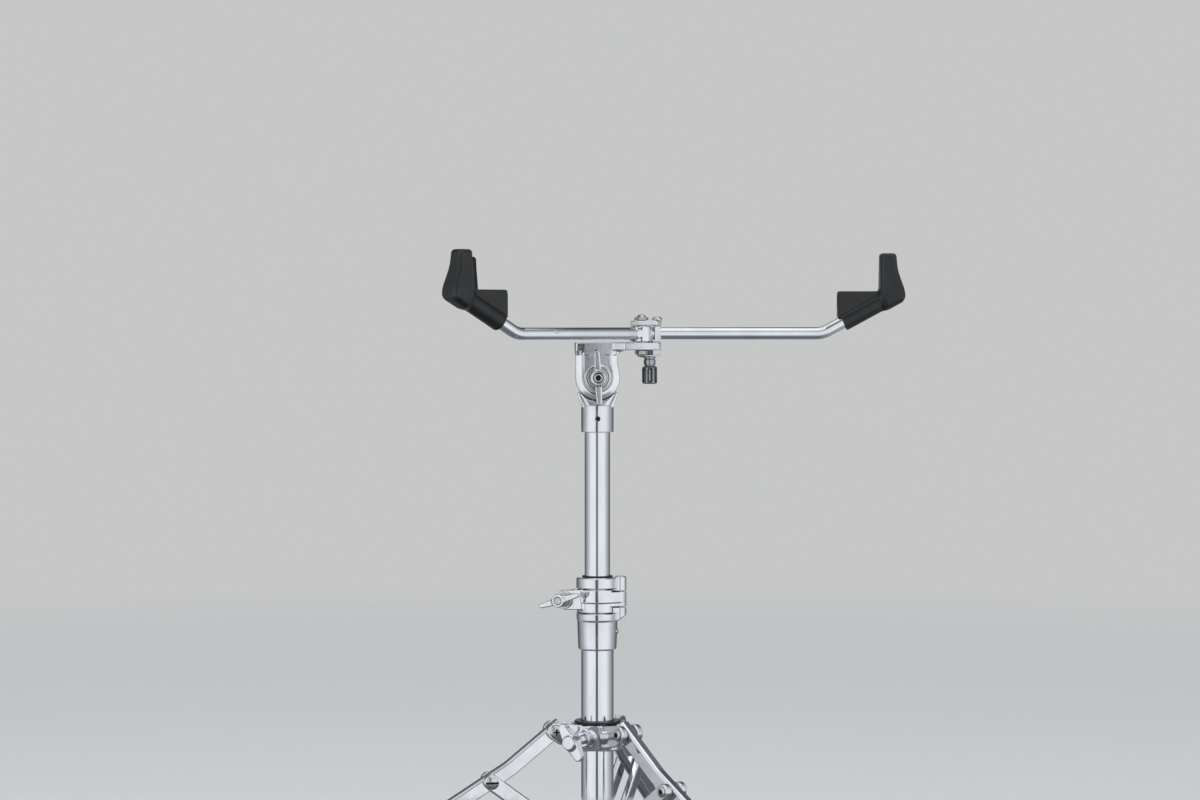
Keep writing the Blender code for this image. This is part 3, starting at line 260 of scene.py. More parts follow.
def inPlane(skin, turnDegrees, origin=(0.0, 0.0, 0.0)):
    # Own frame (outward, sideways, up) turned about the upright line through the origin.
    return placed(skin, origin, *turnWays(turnDegrees), zUp)


def alongLine(skin, origin, way):
    # Own z axis laid along the given way, own x axis kept level.
    return placed(skin, origin, *levelFrame(way))


def meshOf(name, skin):
    loops = np.concatenate([f.ravel() for f in skin["faces"]]).astype(np.int32)
    sizes = np.concatenate([np.full(len(f), f.shape[1]) for f in skin["faces"]])
    points = skin["points"] * toMetres + columnFoot
    mesh = bpy.data.meshes.new(name)
    mesh.vertices.add(len(points))
    mesh.vertices.foreach_set("co", points.astype(np.float32).ravel())
    mesh.loops.add(len(loops))
    mesh.loops.foreach_set("vertex_index", loops)
    mesh.polygons.add(len(sizes))
    mesh.polygons.foreach_set("loop_start", (np.cumsum(sizes) - sizes).astype(np.int32))
    mesh.update(calc_edges=True)
    mesh.polygons.foreach_set("use_smooth", np.ones(len(sizes), bool))
    for key in ("wear", "sunk"):
        layer = mesh.attributes.new(key, "FLOAT", "POINT")
        layer.data.foreach_set("value", skin[key].astype(np.float32))
    mesh.normals_split_custom_set_from_vertices(skin["normals"].astype(np.float32))
    shape = bpy.data.objects.new(name, mesh)
    bpy.context.scene.collection.objects.link(shape)
    return shape


def dress(node, skin, finish):
    # The piece takes the node's name in one word, its place and its body.
    words = node.split("_")
    piece = meshOf(words[0] + "".join(word.capitalize() for word in words[1:]), skin)
    piece.data.materials.append(finish)
    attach(piece, bodyOf[node])
    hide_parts(node)
    return piece


# Turned pieces and swept bars

def arcPoints(centre, radius, start, end, steps):
    turns = np.radians(np.linspace(start, end, steps + 1))
    return [(centre[0] + radius * math.cos(t), centre[1] + radius * math.sin(t)) for t in turns]


def softLine(corners, radius, closed, steps=5):
    # Each corner gives way to an arc that touches both sides; the outward side is on the right of the line.
    spots = np.asarray(corners, float)
    rows, ways, worn = [], [], []
    for k in range(len(spots)):
        if not closed and k in (0, len(spots) - 1):
            side = spots[1] - spots[0] if k == 0 else spots[-1] - spots[-2]
            side = side / np.linalg.norm(side)
            rows.append([spots[k]])
            ways.append([(side[1], -side[0])])
            worn.append([0.0])
            continue
        before, after = spots[k] - spots[k - 1], spots[(k + 1) % len(spots)] - spots[k]
        lengths = np.linalg.norm(before), np.linalg.norm(after)
        before, after = before / lengths[0], after / lengths[1]
        bend = math.atan2(before[0] * after[1] - before[1] * after[0], before @ after)
        if abs(bend) < 1e-6:
            rows.append([spots[k]])
            ways.append([(before[1], -before[0])])
            worn.append([0.0])
            continue
        reach = min(radius * abs(math.tan(bend / 2)), 0.48 * lengths[0], 0.48 * lengths[1])
        fillet = reach / max(abs(math.tan(bend / 2)), 1e-6)
        turn = np.linspace(0.0, bend, steps + 1)
        start = np.array([before[1], -before[0]])
        out = np.stack([start[0] * np.cos(turn) - start[1] * np.sin(turn),
                        start[0] * np.sin(turn) + start[1] * np.cos(turn)], 1)
        sign = 1.0 if bend >= 0.0 else -1.0
        centre = spots[k] - before * reach - sign * start * fillet
        rows.append(centre + sign * out * fillet)
        ways.append(out)
        worn.append(np.sin(np.linspace(0.0, np.pi, steps + 1)) * (1.0 if bend > 0.3 else 0.0))
    return np.concatenate(rows), np.concatenate(ways), np.concatenate(worn)


def turnedSkin(corners, fillet, closed=False, count=96, shadeOf=None, wave=None):
    # Turned surface: radius and height of the profile carried round the axis; wave changes the radius.
    rows, ways, worn = softLine(corners, fillet, closed)
    theta = np.linspace(0.0, 2 * np.pi, count, endpoint=False)
    radius = np.repeat(rows[:, :1], count, 1)
    if wave is not None:
        radius = radius + wave(theta[None, :], rows[:, 1:]) * (rows[:, :1] > 1e-6)
    height = np.repeat(rows[:, 1:], count, 1)
    points = np.stack([radius * np.cos(theta), radius * np.sin(theta), height], -1)
    normals = np.stack([ways[:, :1] * np.cos(theta), ways[:, :1] * np.sin(theta),
                        np.repeat(ways[:, 1:], count, 1)], -1)
    index = np.arange(len(rows) * count).reshape(len(rows), count)
    pole = rows[:, 0] < 1e-6
    faces = []
    last = len(rows) if closed else len(rows) - 1
    for k in range(last):
        low, high = index[k], index[(k + 1) % len(rows)]
        if pole[k]:
            ring = [np.full(count, low[0]), np.roll(high, -1), high]
        elif pole[(k + 1) % len(rows)]:
            ring = [low, np.roll(low, -1), np.full(count, high[0])]
        else:
            ring = [low, np.roll(low, -1), np.roll(high, -1), high]
        faces.append(np.stack(ring, 1))
    wear = np.repeat(worn[:, None], count, 1).ravel()
    # Shares of painted shade, nought unless a shading function is given.
    sunk = np.zeros(len(wear)) if shadeOf is None else shadeOf(points.reshape(-1, 3))
    skin = {"points": points.reshape(-1, 3), "normals": normals.reshape(-1, 3), "wear": wear, "sunk": sunk}
    return tidySkin({**skin, "faces": faces})


def waveNormals(skin):
    # Face-averaged normals for a turned skin whose radius waves.
    total = np.zeros_like(skin["points"])
    for f in skin["faces"]:
        corner = skin["points"][f]
        flat = np.cross(corner[:, 1] - corner[:, 0], corner[:, -1] - corner[:, 0])
        for k in range(f.shape[1]):
            np.add.at(total, f[:, k], flat)
    return {**skin, "normals": total / np.maximum(np.linalg.norm(total, axis=1, keepdims=True), 1e-9)}


def bentPath(start, corner, end, radius, steps):
    # Straight, arc of the given radius, straight: points and unit ways in the flat (outward, up) plane.
    start, corner, end = (np.asarray(p, float) for p in (start, corner, end))
    into = unit(corner - start)
    out = unit(end - corner)
    bend = math.atan2(into[0] * out[1] - into[1] * out[0], into @ out)
    first = corner - into * radius * abs(math.tan(bend / 2))
    turn = np.linspace(0.0, bend, steps + 1)
    left = np.array([-into[1], into[0]]) * math.copysign(1.0, bend)
    arc = first + np.outer(np.sin(np.abs(turn)), into) * radius + np.outer(1 - np.cos(turn), left) * radius
    arcWays = np.outer(np.cos(np.abs(turn)), into) + np.outer(np.sin(np.abs(turn)), left)
    return np.concatenate([[start], arc, [end]]), np.concatenate([[into], arcWays, [out]])


def carriedSkin(path, ways, section, sectionWays, endRound):
    # Bar: the section (across, sideways) rides along the path, and shrinks round its ends.
    turn = np.linspace(np.pi / 2, 0.0, 5)
    shrink, reach, lean = endRound * (1 - np.cos(turn)), endRound * np.sin(turn), np.sin(turn)
    steps = np.arange(1, len(path) - 1)
    at = np.concatenate([np.zeros(5, int), steps, np.full(5, len(path) - 1)])
    inset = np.concatenate([shrink, np.zeros(len(steps)), shrink[::-1]])
    slide = np.concatenate([endRound - reach, np.zeros(len(steps)), reach[::-1] - endRound])
    tip = np.concatenate([-lean, np.zeros(len(steps)), lean[::-1]])
    way = ways[at]
    across = np.stack([-way[:, 1], way[:, 0]], 1)
    spot = path[at] + way * slide[:, None]
    ring = section[None] - sectionWays[None] * inset[:, None, None]
    flat = spot[:, None, :] + across[:, None, :] * ring[:, :, :1]
    points = np.stack([flat[..., 0], ring[..., 1], flat[..., 1]], -1)
    side = np.sqrt(1 - tip**2)[:, None, None] * sectionWays[None]
    flatWay = across[:, None, :] * side[:, :, :1] + way[:, None, :] * tip[:, None, None]
    normals = np.stack([flatWay[..., 0], side[..., 1], flatWay[..., 1]], -1)
    rows, count = points.shape[:2]
    index = np.arange(rows * count).reshape(rows, count)
    low, high = index[:-1], index[1:]
    body = np.stack([low, np.roll(low, -1, 1), np.roll(high, -1, 1), high], -1).reshape(-1, 4)
    faces = [body, index[:1, ::-1], index[-1:]]
    wear = np.repeat(np.abs(tip), count) * 0.8
    skin = {"points": points.reshape(-1, 3), "normals": normals.reshape(-1, 3), "wear": wear}
    return {**skin, "sunk": np.zeros(rows * count), "faces": faces}


# Cast and moulded pieces: the skin where a distance field is nil

def roundJoin(first, second, radius):
    # Union whose hollow corner is filled by an arc.
    hollow = np.hypot(np.maximum(radius - first, 0.0), np.maximum(radius - second, 0.0))
    return np.maximum(radius, np.minimum(first, second)) - hollow


def roundMeet(first, second, radius):
    # What both hold, with the edge between them rounded.
    edge = np.hypot(np.maximum(radius + first, 0.0), np.maximum(radius + second, 0.0))
    return np.minimum(-radius, np.maximum(first, second)) + edge


def cutOut(body, hollow, radius):
    # The body less the hollow, with the edge between them rounded.
    return roundMeet(body, -hollow, radius)


def rodField(p, start, way, radius, low, high, edge):
    # Distance from the line less the radius, met by both flat ends.
    way = unit(way)
    offset = p - np.asarray(start, float)
    along = offset @ way
    off = np.sqrt(np.maximum((offset * offset).sum(1) - along * along, 0.0)) - radius
    return roundMeet(off, slabField(along, low, high), edge)


def uprightRod(p, x, y, radius, low, high, edge):
    # Distance from an upright line less the radius, met by both flat ends.
    off = np.hypot(p[:, 0] - x, p[:, 1] - y) - radius
    return roundMeet(off, slabField(p[:, 2], low, high), edge)


def shrunk(corners, amount):
    # Every side of the outline steps inwards, and neighbours meet again.
    spots = np.asarray(corners, float)
    after = np.roll(spots, -1, 0)
    area = (spots[:, 0] * after[:, 1] - after[:, 0] * spots[:, 1]).sum()
    way = (after - spots) / np.linalg.norm(after - spots, axis=1, keepdims=True)
    inward = np.stack([-way[:, 1], way[:, 0]], 1) * np.sign(area)
    other = np.roll(inward, 1, 0)
    return spots + amount * (inward + other) / (1 + (inward * other).sum(1, keepdims=True))


def outlineField(u, v, corners, rounding=0.0):
    # Signed distance to an outline, its corners rounded: the nearest side, negative inside.
    spots = shrunk(corners, rounding) if rounding > 0.0 else np.asarray(corners, float)
    best = np.full(u.shape, 1e9)
    inside = np.zeros(u.shape, bool)
    for (ax, ay), (bx, by) in zip(spots, np.roll(spots, -1, 0)):
        ex, ey = bx - ax, by - ay
        wx, wy = u - ax, v - ay
        share = np.clip((wx * ex + wy * ey) / (ex * ex + ey * ey), 0.0, 1.0)
        best = np.minimum(best, (wx - ex * share) ** 2 + (wy - ey * share) ** 2)
        if ey != 0.0:
            inside ^= ((ay > v) != (by > v)) & (wx < ex * wy / ey)
    return np.where(inside, -1.0, 1.0) * np.sqrt(best) - rounding


def slabField(w, low, high):
    # Distance past the nearer of two faces.
    return np.maximum(low - w, w - high)


def castSkin(field, low, high, step, shadeOf=None):
    # Samples the field on a grid near the skin, sets a point in each cell that the skin crosses and
    # slides it onto the skin; wear is where the skin bulges.
    low, high, block = np.asarray(low, float), np.asarray(high, float), 4
    cells = np.ceil((high - low) / (step * block)).astype(int) + 1
    index = np.stack(np.meshgrid(*[np.arange(n) for n in cells], indexing="ij"), -1).reshape(-1, 3)
    rough = field(low + step * (index * block + (block - 1) / 2))
    near = np.abs(rough) < step * (block / 2 + 1) * 1.9
    values = rough.reshape(cells)
    for axis in range(3):
        values = np.repeat(values, block, axis)
    inner = np.stack(np.meshgrid(*[np.arange(block)] * 3, indexing="ij"), -1).reshape(-1, 3)
    spots = (index[near][:, None] * block + inner[None]).reshape(-1, 3)
    values[tuple(spots.T)] = field(low + step * spots)
    inside = values < 0.0
    corners = np.stack(np.meshgrid([0, 1], [0, 1], [0, 1], indexing="ij"), -1).reshape(-1, 3)
    ends = np.array(inside.shape) - 1
    held = sum(inside[i:i + ends[0], j:j + ends[1], k:k + ends[2]].astype(np.int8) for i, j, k in corners)
    active = (held > 0) & (held < 8)
    cellPoint = np.full(active.shape, -1)
    cellPoint[active] = np.arange(active.sum())
    cell = np.stack(np.nonzero(active), 1)
    total, hits = np.zeros((len(cell), 3)), np.zeros(len(cell))
    for start in corners:
        for axis in range(3):
            if start[axis] == 1:
                continue
            away = start + np.eye(3, dtype=int)[axis]
            first, second = values[tuple((cell + start).T)], values[tuple((cell + away).T)]
            crossed = (first < 0.0) != (second < 0.0)
            share = np.where(crossed, first / np.where(crossed, first - second, 1.0), 0.0)
            total += np.where(crossed[:, None], cell + start + (away - start) * share[:, None], 0.0)
            hits += crossed
    points = low + step * total / hits[:, None]
    for _ in range(4):
        value, slope, _ = slopeOf(field, points, step * 0.25)
        push = slope * (value / np.maximum((slope * slope).sum(1), 0.05))[:, None]
        points = points - np.clip(push, -step * 0.6, step * 0.6)
    _, slope, bulge = slopeOf(field, points, max(step * 0.5, 0.2))
    normals = slope / np.maximum(np.linalg.norm(slope, axis=1, keepdims=True), 1e-9)
    faces = []
    for axis, flip in ((0, False), (1, True), (2, False)):
        b, c = [k for k in range(3) if k != axis]
        here = np.take(inside, range(ends[axis]), axis)
        there = np.take(inside, range(1, ends[axis] + 1), axis)
        spot = np.stack(np.nonzero(here != there), 1)
        spot = spot[(spot[:, b] > 0) & (spot[:, c] > 0) & (spot[:, b] < ends[b]) & (spot[:, c] < ends[c])]
        ring = []
        for db, dc in ((1, 1), (0, 1), (0, 0), (1, 0)):
            back = spot.copy()
            back[:, b] -= db
            back[:, c] -= dc
            ring.append(cellPoint[tuple(back.T)])
        quad = np.stack(ring, 1)
        turned = here[tuple(spot.T)] == flip
        quad[turned] = quad[turned][:, ::-1]
        faces.append(quad)
    wear = np.clip((bulge - 0.30) / 0.7, 0.0, 1.0)
    # Shares of painted shade, nought unless a shading function is given.
    sunk = np.zeros(len(points)) if shadeOf is None else np.clip(shadeOf(points), 0.0, 1.0)
    skin = {"points": points, "normals": normals, "wear": wear, "sunk": sunk}
    return {**skin, "faces": [np.concatenate(faces)]}


def slopeOf(field, points, step):
    # Value, slope and bulge of the field from six neighbours of each point.
    middle = field(points)
    slope, bulge = np.zeros_like(points), -6.0 * middle
    for axis in range(3):
        nudge = np.zeros(3)
        nudge[axis] = step
        ahead, behind = field(points + nudge), field(points - nudge)
        slope[:, axis] = (ahead - behind) / (2 * step)
        bulge = bulge + ahead + behind
    return middle, slope, bulge / (step * step)


# Column tubes and their nylon rings

def ringOf(bore, outer, low, high):
    # Square ring: four corners, each a radius and a height.
    return [(bore, low), (outer, low), (outer, high), (bore, high)]


tubes = {"main_tube": {"bore": 11.9, "outer": 13.5, "low": 74.04, "high": 268.0},
         "upper_tube": {"bore": 9.1, "outer": 10.6, "low": 200.0, "high": 439.0}}
tubeCut = {"lip": 0.5, "sides": 128}
for node, tube in tubes.items():
    dress(node, turnedSkin(ringOf(**tube), tubeCut["lip"], True, tubeCut["sides"]), tubeChrome)
# Corners are radius and height; a ring's line closes on itself, the plug's ends on the axis.
nylonRings = {
    "tube_end_plug": {"soft": 0.6, "ring": False, "corners": [
        (0.0, 70.24), (8.0, 70.24), (9.2, 69.04), (11.5, 69.04), (13.5, 71.04), (13.5, 73.74),
        (11.5, 73.74), (11.5, 83.04), (0.0, 83.04)]},
    "tube_guide": {"soft": 0.3, "ring": True, "corners": [
        (8.0, 196.0), (11.6, 196.0), (11.6, 212.0), (10.85, 212.0), (10.85, 199.7), (8.0, 199.7)]},
    "collar_bushing": {"soft": 0.7, "ring": True, "corners": [
        (13.9, 180.5), (19.2, 180.5), (19.2, 182.2), (18.5, 182.9), (13.9, 182.9)]},
    "clamp_bushing": {"soft": 0.4, "ring": True, "corners": [
        (11.0, 294.1), (11.6, 294.1), (11.6, 302.5), (13.0, 302.5), (12.6, 303.4), (11.0, 303.4)]}}
for node, look in nylonRings.items():
    dress(node, turnedSkin(look["corners"], look["soft"], look["ring"]), ringNylon)
print("column: tubes and nylon rings")


# Screws, pins and nuts

# Shares of the head's size, and the grid's cell.
drive = {"depth": 0.6, "reach": 0.46, "slot": 0.30, "arm": 0.24, "crown": 0.55, "cell": 0.32}


def hexField(u, v, reach):
    # Six-sided outline: the furthest of three pairs of flats.
    return np.maximum(np.abs(v), np.abs(u) * math.cos(math.pi / 6) + np.abs(v) * 0.5) - reach


def domedHead(p, radius, low, high, crown):
    # Button head: a short round rod under a shallow ball cap.
    ball = (radius * radius + crown * crown) / (2 * crown)
    cap = np.sqrt(p[:, 0] ** 2 + p[:, 1] ** 2 + (p[:, 2] - high + ball) ** 2) - ball
    return roundMeet(uprightRod(p, 0.0, 0.0, radius, low, high, 0.3), cap, 0.4)


def recessField(p, kind, high, depth, reach):
    # Drive cut in a head: a straight slot, crossed slots or a six-sided socket.
    x, y, z = np.abs(p[:, 0]), np.abs(p[:, 1]), p[:, 2]
    if kind == "slot":
        hollow = y - reach * drive["slot"]
    elif kind == "cross":
        thin = reach * drive["arm"]
        hollow = np.minimum(np.maximum(y - thin, x - reach), np.maximum(x - thin, y - reach))
    else:
        hollow = hexField(x, y, reach)
    return np.maximum(hollow, high - depth - z)


def screwSkin(shank, low, seat, radius, head, kind, bothEnds=False):
    # Shank with a domed head at its upper end, or at both ends, each with its drive cut.
    high = seat + head
    start = -high if bothEnds else low
    reach = radius * drive["reach"]

    def folded(p):
        return np.column_stack([p[:, :2], np.abs(p[:, 2])]) if bothEnds else p

    def field(p):
        p = folded(p)
        dome = domedHead(p, radius, seat, high, head * drive["crown"])
        body = roundJoin(uprightRod(p, 0.0, 0.0, shank, start, seat + 0.5, 0.3), dome, 0.1)
        return cutOut(body, recessField(p, kind, high, head * drive["depth"], reach), 0.15)

    # Painted shade inside the drive cut.
    def shadeOf(p):
        p = folded(p)
        return (recessField(p, kind, high, head, reach) < 0.12) * (p[:, 2] > seat) * 1.0

    room = radius + 1
    return castSkin(field, (-room, -room, start - 1), (room, room, high + 1), drive["cell"], shadeOf)


stayScrew = {"shank": 3.0, "low": 5.45, "seat": 11.65}
legPins = {"_leg_bolt": {"at": (37.0, 175.0), "face": 1.0,
                         "screw": {"shank": 3.0, "low": 0.0, "seat": 11.75, "bothEnds": True}},
           "_stay_pin": {"at": (37.0, 94.238), "face": 1.0,
                         "screw": {"shank": 3.0, "low": 0.0, "seat": 11.65, "bothEnds": True}},
           "_stay_screw_a": {"at": (90.585, 134.619), "face": 1.0, "screw": stayScrew},
           "_stay_screw_b": {"at": (90.585, 134.619), "face": -1.0, "screw": stayScrew}}
pinHeads = {"left": {"radius": 5.4, "head": 2.2}, "right": {"radius": 4.4, "head": 1.3},
            "rear": {"radius": 4.4, "head": 1.3}}
# The other pins have sockets.
pinDrives = {"left_leg_bolt": "cross", "left_stay_screw_a": "slot", "left_stay_screw_b": "slot"}
for side, turnDegrees in legTurns.items():
    outWay, sideWay = turnWays(turnDegrees)
    for tail, pin in legPins.items():
        skin = screwSkin(**pin["screw"], **pinHeads[side], kind=pinDrives.get(side + tail, "socket"))
        place = outWay * pin["at"][0] + zUp * pin["at"][1]
        dress(side + tail, alongLine(skin, place, sideWay * pin["face"]), screwNickel)


def domeNutField(p, base, reach, height, crown):
    # Six-sided nut with chamfered corners under a ball dome.
    level = p[:, 2] - base
    prism = np.maximum(hexField(p[:, 0], p[:, 1], reach), slabField(level, 0.0, height))
    prism = np.maximum(prism, (np.hypot(p[:, 0], p[:, 1]) - reach * 1.1 + (level - height) * 0.6) * 0.85)
    dome = np.sqrt(p[:, 0] ** 2 + p[:, 1] ** 2 + (level - height * 0.6) ** 2) - crown
    return roundJoin(roundMeet(prism, prism, 0.3), np.maximum(dome, -level), 0.5)


pivotNuts = {"x": 36.5, "y": 15.0, "shank": 3.0, "low": 489.4, "high": 516.3, "cell": 0.36,
             "box": ((-6.5, -6.5, 483), (6.5, 6.5, 522)),
             "head": {"base": 515.3, "reach": 4.65, "height": 2.6, "crown": 3.4},
             "foot": {"base": -490.4, "reach": 4.3, "height": 3.4, "crown": 3.9}}


def pivotBoltField(p):
    # Plain shank, a dome nut on top and a deeper one below.
    shank = uprightRod(p, 0.0, 0.0, pivotNuts["shank"], pivotNuts["low"], pivotNuts["high"], 0.3)
    foot = domeNutField(p * (1.0, 1.0, -1.0), **pivotNuts["foot"])
    return np.minimum(shank, np.minimum(domeNutField(p, **pivotNuts["head"]), foot))


pivotSkin = castSkin(pivotBoltField, *pivotNuts["box"], pivotNuts["cell"])
for label, sign in (("front", -1.0), ("rear", 1.0)):
    place = (pivotNuts["x"], sign * pivotNuts["y"], 0.0)
    dress(label + "_pivot_bolt", shifted(pivotSkin, place), screwNickel)
capScrew = {"shank": 1.5, "low": 512.3, "seat": 515.3, "radius": 4.2, "head": 3.4, "kind": "socket"}
capScrewX = 49.6
dress("socket_screw", shifted(screwSkin(**capScrew), (capScrewX, 0.0, 0.0)), screwNickel)
setScrew = {"shank": 2.4, "low": 13.9, "seat": 16.6, "radius": 2.5, "head": 1.2, "kind": "socket"}
setPlace, setWay = (0.0, 0.0, 257.05), (0.98, -0.2, 0.0)
dress("clamp_set_screw", alongLine(screwSkin(**setScrew), setPlace, setWay), screwNickel)
hingePin = {"shank": 2.2, "low": 272.5, "seat": 302.7, "radius": 4.3, "head": 0.9, "kind": "slot"}
hingeX, hingeY = 19.0, -4.0
dress("clamp_hinge_pin", shifted(screwSkin(**hingePin), (hingeX, hingeY, 0.0)), screwNickel)
print("screws: leg bolts, stay pins, pivot nuts")


def threadWave(pitch, depth, low, high):
    # Screw thread: the radius dips with a triangle wave of height plus turn, fading out at both ends.
    def wave(theta, level):
        phase = (level / pitch - theta / (2 * np.pi)) % 1.0
        inside = np.clip(np.minimum(level - low, high - level) / pitch, 0.0, 1.0)
        return -depth * np.abs(2 * phase - 1) * inside
    return wave


def threadedRod(radius, low, high, pitch, depth, threadLow, threadHigh):
    # Rod whose profile is fine enough to carry the thread.
    levels = np.arange(threadLow, threadHigh, pitch / 8)
    flank = [(radius, level) for level in levels if low + 0.6 < level < high - 0.6]
    corners = [(0.0, low), (radius, low)] + flank + [(radius, high), (0.0, high)]
    skin = turnedSkin(corners, 0.4, False, 48, None, threadWave(pitch, depth, threadLow, threadHigh))
    return waveNormals(skin)


earOut, earSide = turnWays(242.0)
studPlace = np.array([-25.5, -5.0, 283.95])
studHead = {"shank": 2.4, "low": 6.3, "seat": 10.3, "radius": 4.4, "head": 3.2, "kind": "socket"}
studRod = {"radius": 3.0, "low": -10.3, "high": 17.1, "pitch": 1.25, "depth": 0.45, "threadLow": -2.0,
           "threadHigh": 17.1}
studWasher = {"bore": 3.35, "outer": 7.6, "low": 5.3, "high": 6.8}
dress("clamp_stud", joined(alongLine(screwSkin(**studHead), studPlace, -earOut),
                           alongLine(threadedRod(**studRod), studPlace, earOut)), screwNickel)
washerSkin = turnedSkin(ringOf(**studWasher), 0.4, True, 72)
dress("clamp_washer", alongLine(washerSkin, studPlace, earOut), screwNickel)
tiltUp = 468.0
tiltPlace = np.array([0.0, 0.0, tiltUp])
yFront = np.array([0.0, -1.0, 0.0])
tiltHead = {"shank": 3.4, "low": 9.0, "seat": 15.3, "radius": 7.2, "head": 4.2, "kind": "socket"}
tiltRod = {"radius": 4.0, "low": -15.3, "high": 24.0, "pitch": 1.25, "depth": 0.5, "threadLow": 12.0,
           "threadHigh": 23.0}
tiltEnd = {"radius": 3.7, "low": 15.0, "high": 28.3, "edge": 0.7, "socket": 2.1, "floor": 25.7,
           "darkLow": 24.0, "darkHigh": 27.9, "cell": 0.3, "box": ((-5, -5, 14), (5, 5, 29.3))}
tiltWasher = {"bore": 4.35, "outer": 8.5, "low": 15.3, "high": 16.9}


def boltEndField(p):
    # Round end with a hollow six-sided socket.
    rod = uprightRod(p, 0.0, 0.0, tiltEnd["radius"], tiltEnd["low"], tiltEnd["high"], tiltEnd["edge"])
    socket = np.maximum(hexField(p[:, 0], p[:, 1], tiltEnd["socket"]), tiltEnd["floor"] - p[:, 2])
    return cutOut(rod, socket, 0.2)


def boltEndShade(p):
    # Painted shade inside the socket.
    dark = (p[:, 2] < tiltEnd["darkHigh"]) & (p[:, 2] > tiltEnd["darkLow"])
    return dark & (hexField(p[:, 0], p[:, 1], tiltEnd["socket"]) < 0.1)


endSkin = castSkin(boltEndField, *tiltEnd["box"], tiltEnd["cell"], boltEndShade)
dress("tilter_bolt", joined(alongLine(screwSkin(**tiltHead), tiltPlace, -yFront),
                            alongLine(threadedRod(**tiltRod), tiltPlace, yFront),
                            alongLine(endSkin, tiltPlace, yFront)), screwNickel)
tiltRing = turnedSkin(ringOf(**tiltWasher), 0.45, True, 72)
dress("tilter_washer", alongLine(tiltRing, tiltPlace, yFront), screwNickel)
print("bolts: clamp stud and tilter bolt")


# Wing nuts and the wing bolt

wingCast = {"taper": 0.10, "bossEdge": 0.9, "rootAt": 0.6, "wingEdge": 1.0, "fillet": 1.8, "boreEdge": 0.4,
            "dishWall": 1.2, "room": 1.2, "cell": 0.45}


def wingField(p, look):
    # Tapered boss, filleted to two wings that narrow from root to round tip, less a bore and a dished face.
    u, v, w = p.T
    turn = math.radians(look["turn"])
    along, across = u * math.cos(turn) + v * math.sin(turn), v * math.cos(turn) - u * math.sin(turn)
    radial = np.hypot(u, v)
    side = radial - look["boss"] * (1.0 - wingCast["taper"] * ramp(w, look["low"], look["high"]))
    boss = roundMeet(side, slabField(w, look["low"], look["high"]), wingCast["bossEdge"])
    reach = np.abs(along)
    tipAt = look["span"] - look["tip"]
    share = ramp(reach, look["boss"] * wingCast["rootAt"], tipAt)
    half = look["root"] + (look["tip"] - look["root"]) * share
    blade = np.hypot(reach - np.clip(reach, 0.0, tipAt), across) - half
    lean = look["lean"] * share * share
    wings = roundMeet(blade, slabField(w, look["wingLow"] + lean, look["wingHigh"]), wingCast["wingEdge"])
    body = roundJoin(boss, wings, wingCast["fillet"])
    if look["bore"] > 0.0:
        body = roundMeet(body, look["bore"] - radial, wingCast["boreEdge"])
    if look["dish"] > 0.0:
        dish = np.maximum(look["high"] - look["dish"] - w, radial - look["bore"] - wingCast["dishWall"])
        body = cutOut(body, dish, wingCast["boreEdge"])
    return body


def wingSkin(look):
    reach, room = look["span"] + wingCast["room"], wingCast["room"]
    return castSkin(lambda p: wingField(p, look), (-reach, -reach, look["low"] - room),
                    (reach, reach, look["high"] + room), wingCast["cell"])


clampNut = {"boss": 6.1, "low": 7.1, "high": 17.2, "span": 19.0, "root": 3.0, "tip": 1.9, "wingLow": 10.2,
            "wingHigh": 15.6, "lean": 0.8, "bore": 3.35, "dish": 0.0, "turn": 17.0}
dress("clamp_wing_nut", alongLine(wingSkin(clampNut), studPlace, earOut), castChrome)
tiltNut = {"boss": 7.1, "low": 17.2, "high": 29.7, "span": 22.4, "root": 3.0, "tip": 2.3, "wingLow": 20.2,
           "wingHigh": 27.7, "lean": 0.8, "bore": 4.35, "dish": 1.2, "turn": 92.7}
dress("tilter_wing_nut", alongLine(wingSkin(tiltNut), tiltPlace, yFront), castChrome)
collarBolt = {"boss": 6.2, "low": 37.0, "high": 51.0, "span": 17.0, "root": 5.4, "tip": 3.4,
              "wingLow": 40.0, "wingHigh": 48.0, "lean": 0.9, "bore": 0.0, "dish": 0.0, "turn": 122.0}
boltShank = {"radius": 3.2, "low": 14.2, "high": 41.0, "pitch": 1.25, "depth": 0.5, "threadLow": 16.0,
             "threadHigh": 40.0}
boltPlace = (0.0, 0.0, 169.45)
boltWay = turnWays(240.0)[0]
boltSkin = joined(wingSkin(collarBolt), threadedRod(**boltShank))
dress("collar_wing_bolt", alongLine(boltSkin, boltPlace, boltWay), castChrome)
print("wings: clamp nut, tilter nut, collar bolt")


# Leg collar and lower collar

def planeParts(p, turnDegrees):
    # Outward, sideways and up in the upright plane at a turn about the column.
    outX, outY = turnWays(turnDegrees)[0][:2]
    return p[:, 0] * outX + p[:, 1] * outY, p[:, 1] * outX - p[:, 0] * outY, p[:, 2]


legCollar = {"bore": 13.9, "outer": 20.5, "low": 158.7, "high": 180.2, "cheekInner": 5.45,
             "cheekOuter": 11.45, "cheekRoot": 15.5, "endRadius": 7.4, "pivotOut": 37.0, "pivotUp": 175.0,
             "hole": 3.35, "boss": 6.4, "bossEnd": 26.0, "boltHole": 3.55, "flatTurn": 266.0,
             "flatOut": 19.2, "flatLean": 0.14, "ribAt": 4.3, "ribHalf": 1.5, "ribHigh": 0.8,
             "rimEdge": 1.4, "cheekEdge": 1.2, "cheekFillet": 2.2, "bossFillet": 2.6, "cell": 0.46,
             "box": ((-47, -47, 157), (47, 47, 184))}
cheekOutline = [(legCollar["cheekRoot"], legCollar["low"] + 1.9),
                (legCollar["pivotOut"] - 2.0, legCollar["low"] + 6.2)]
cheekEnd = (legCollar["pivotOut"], legCollar["pivotUp"])
cheekOutline += arcPoints(cheekEnd, legCollar["endRadius"], -75.0, 95.0, 12)
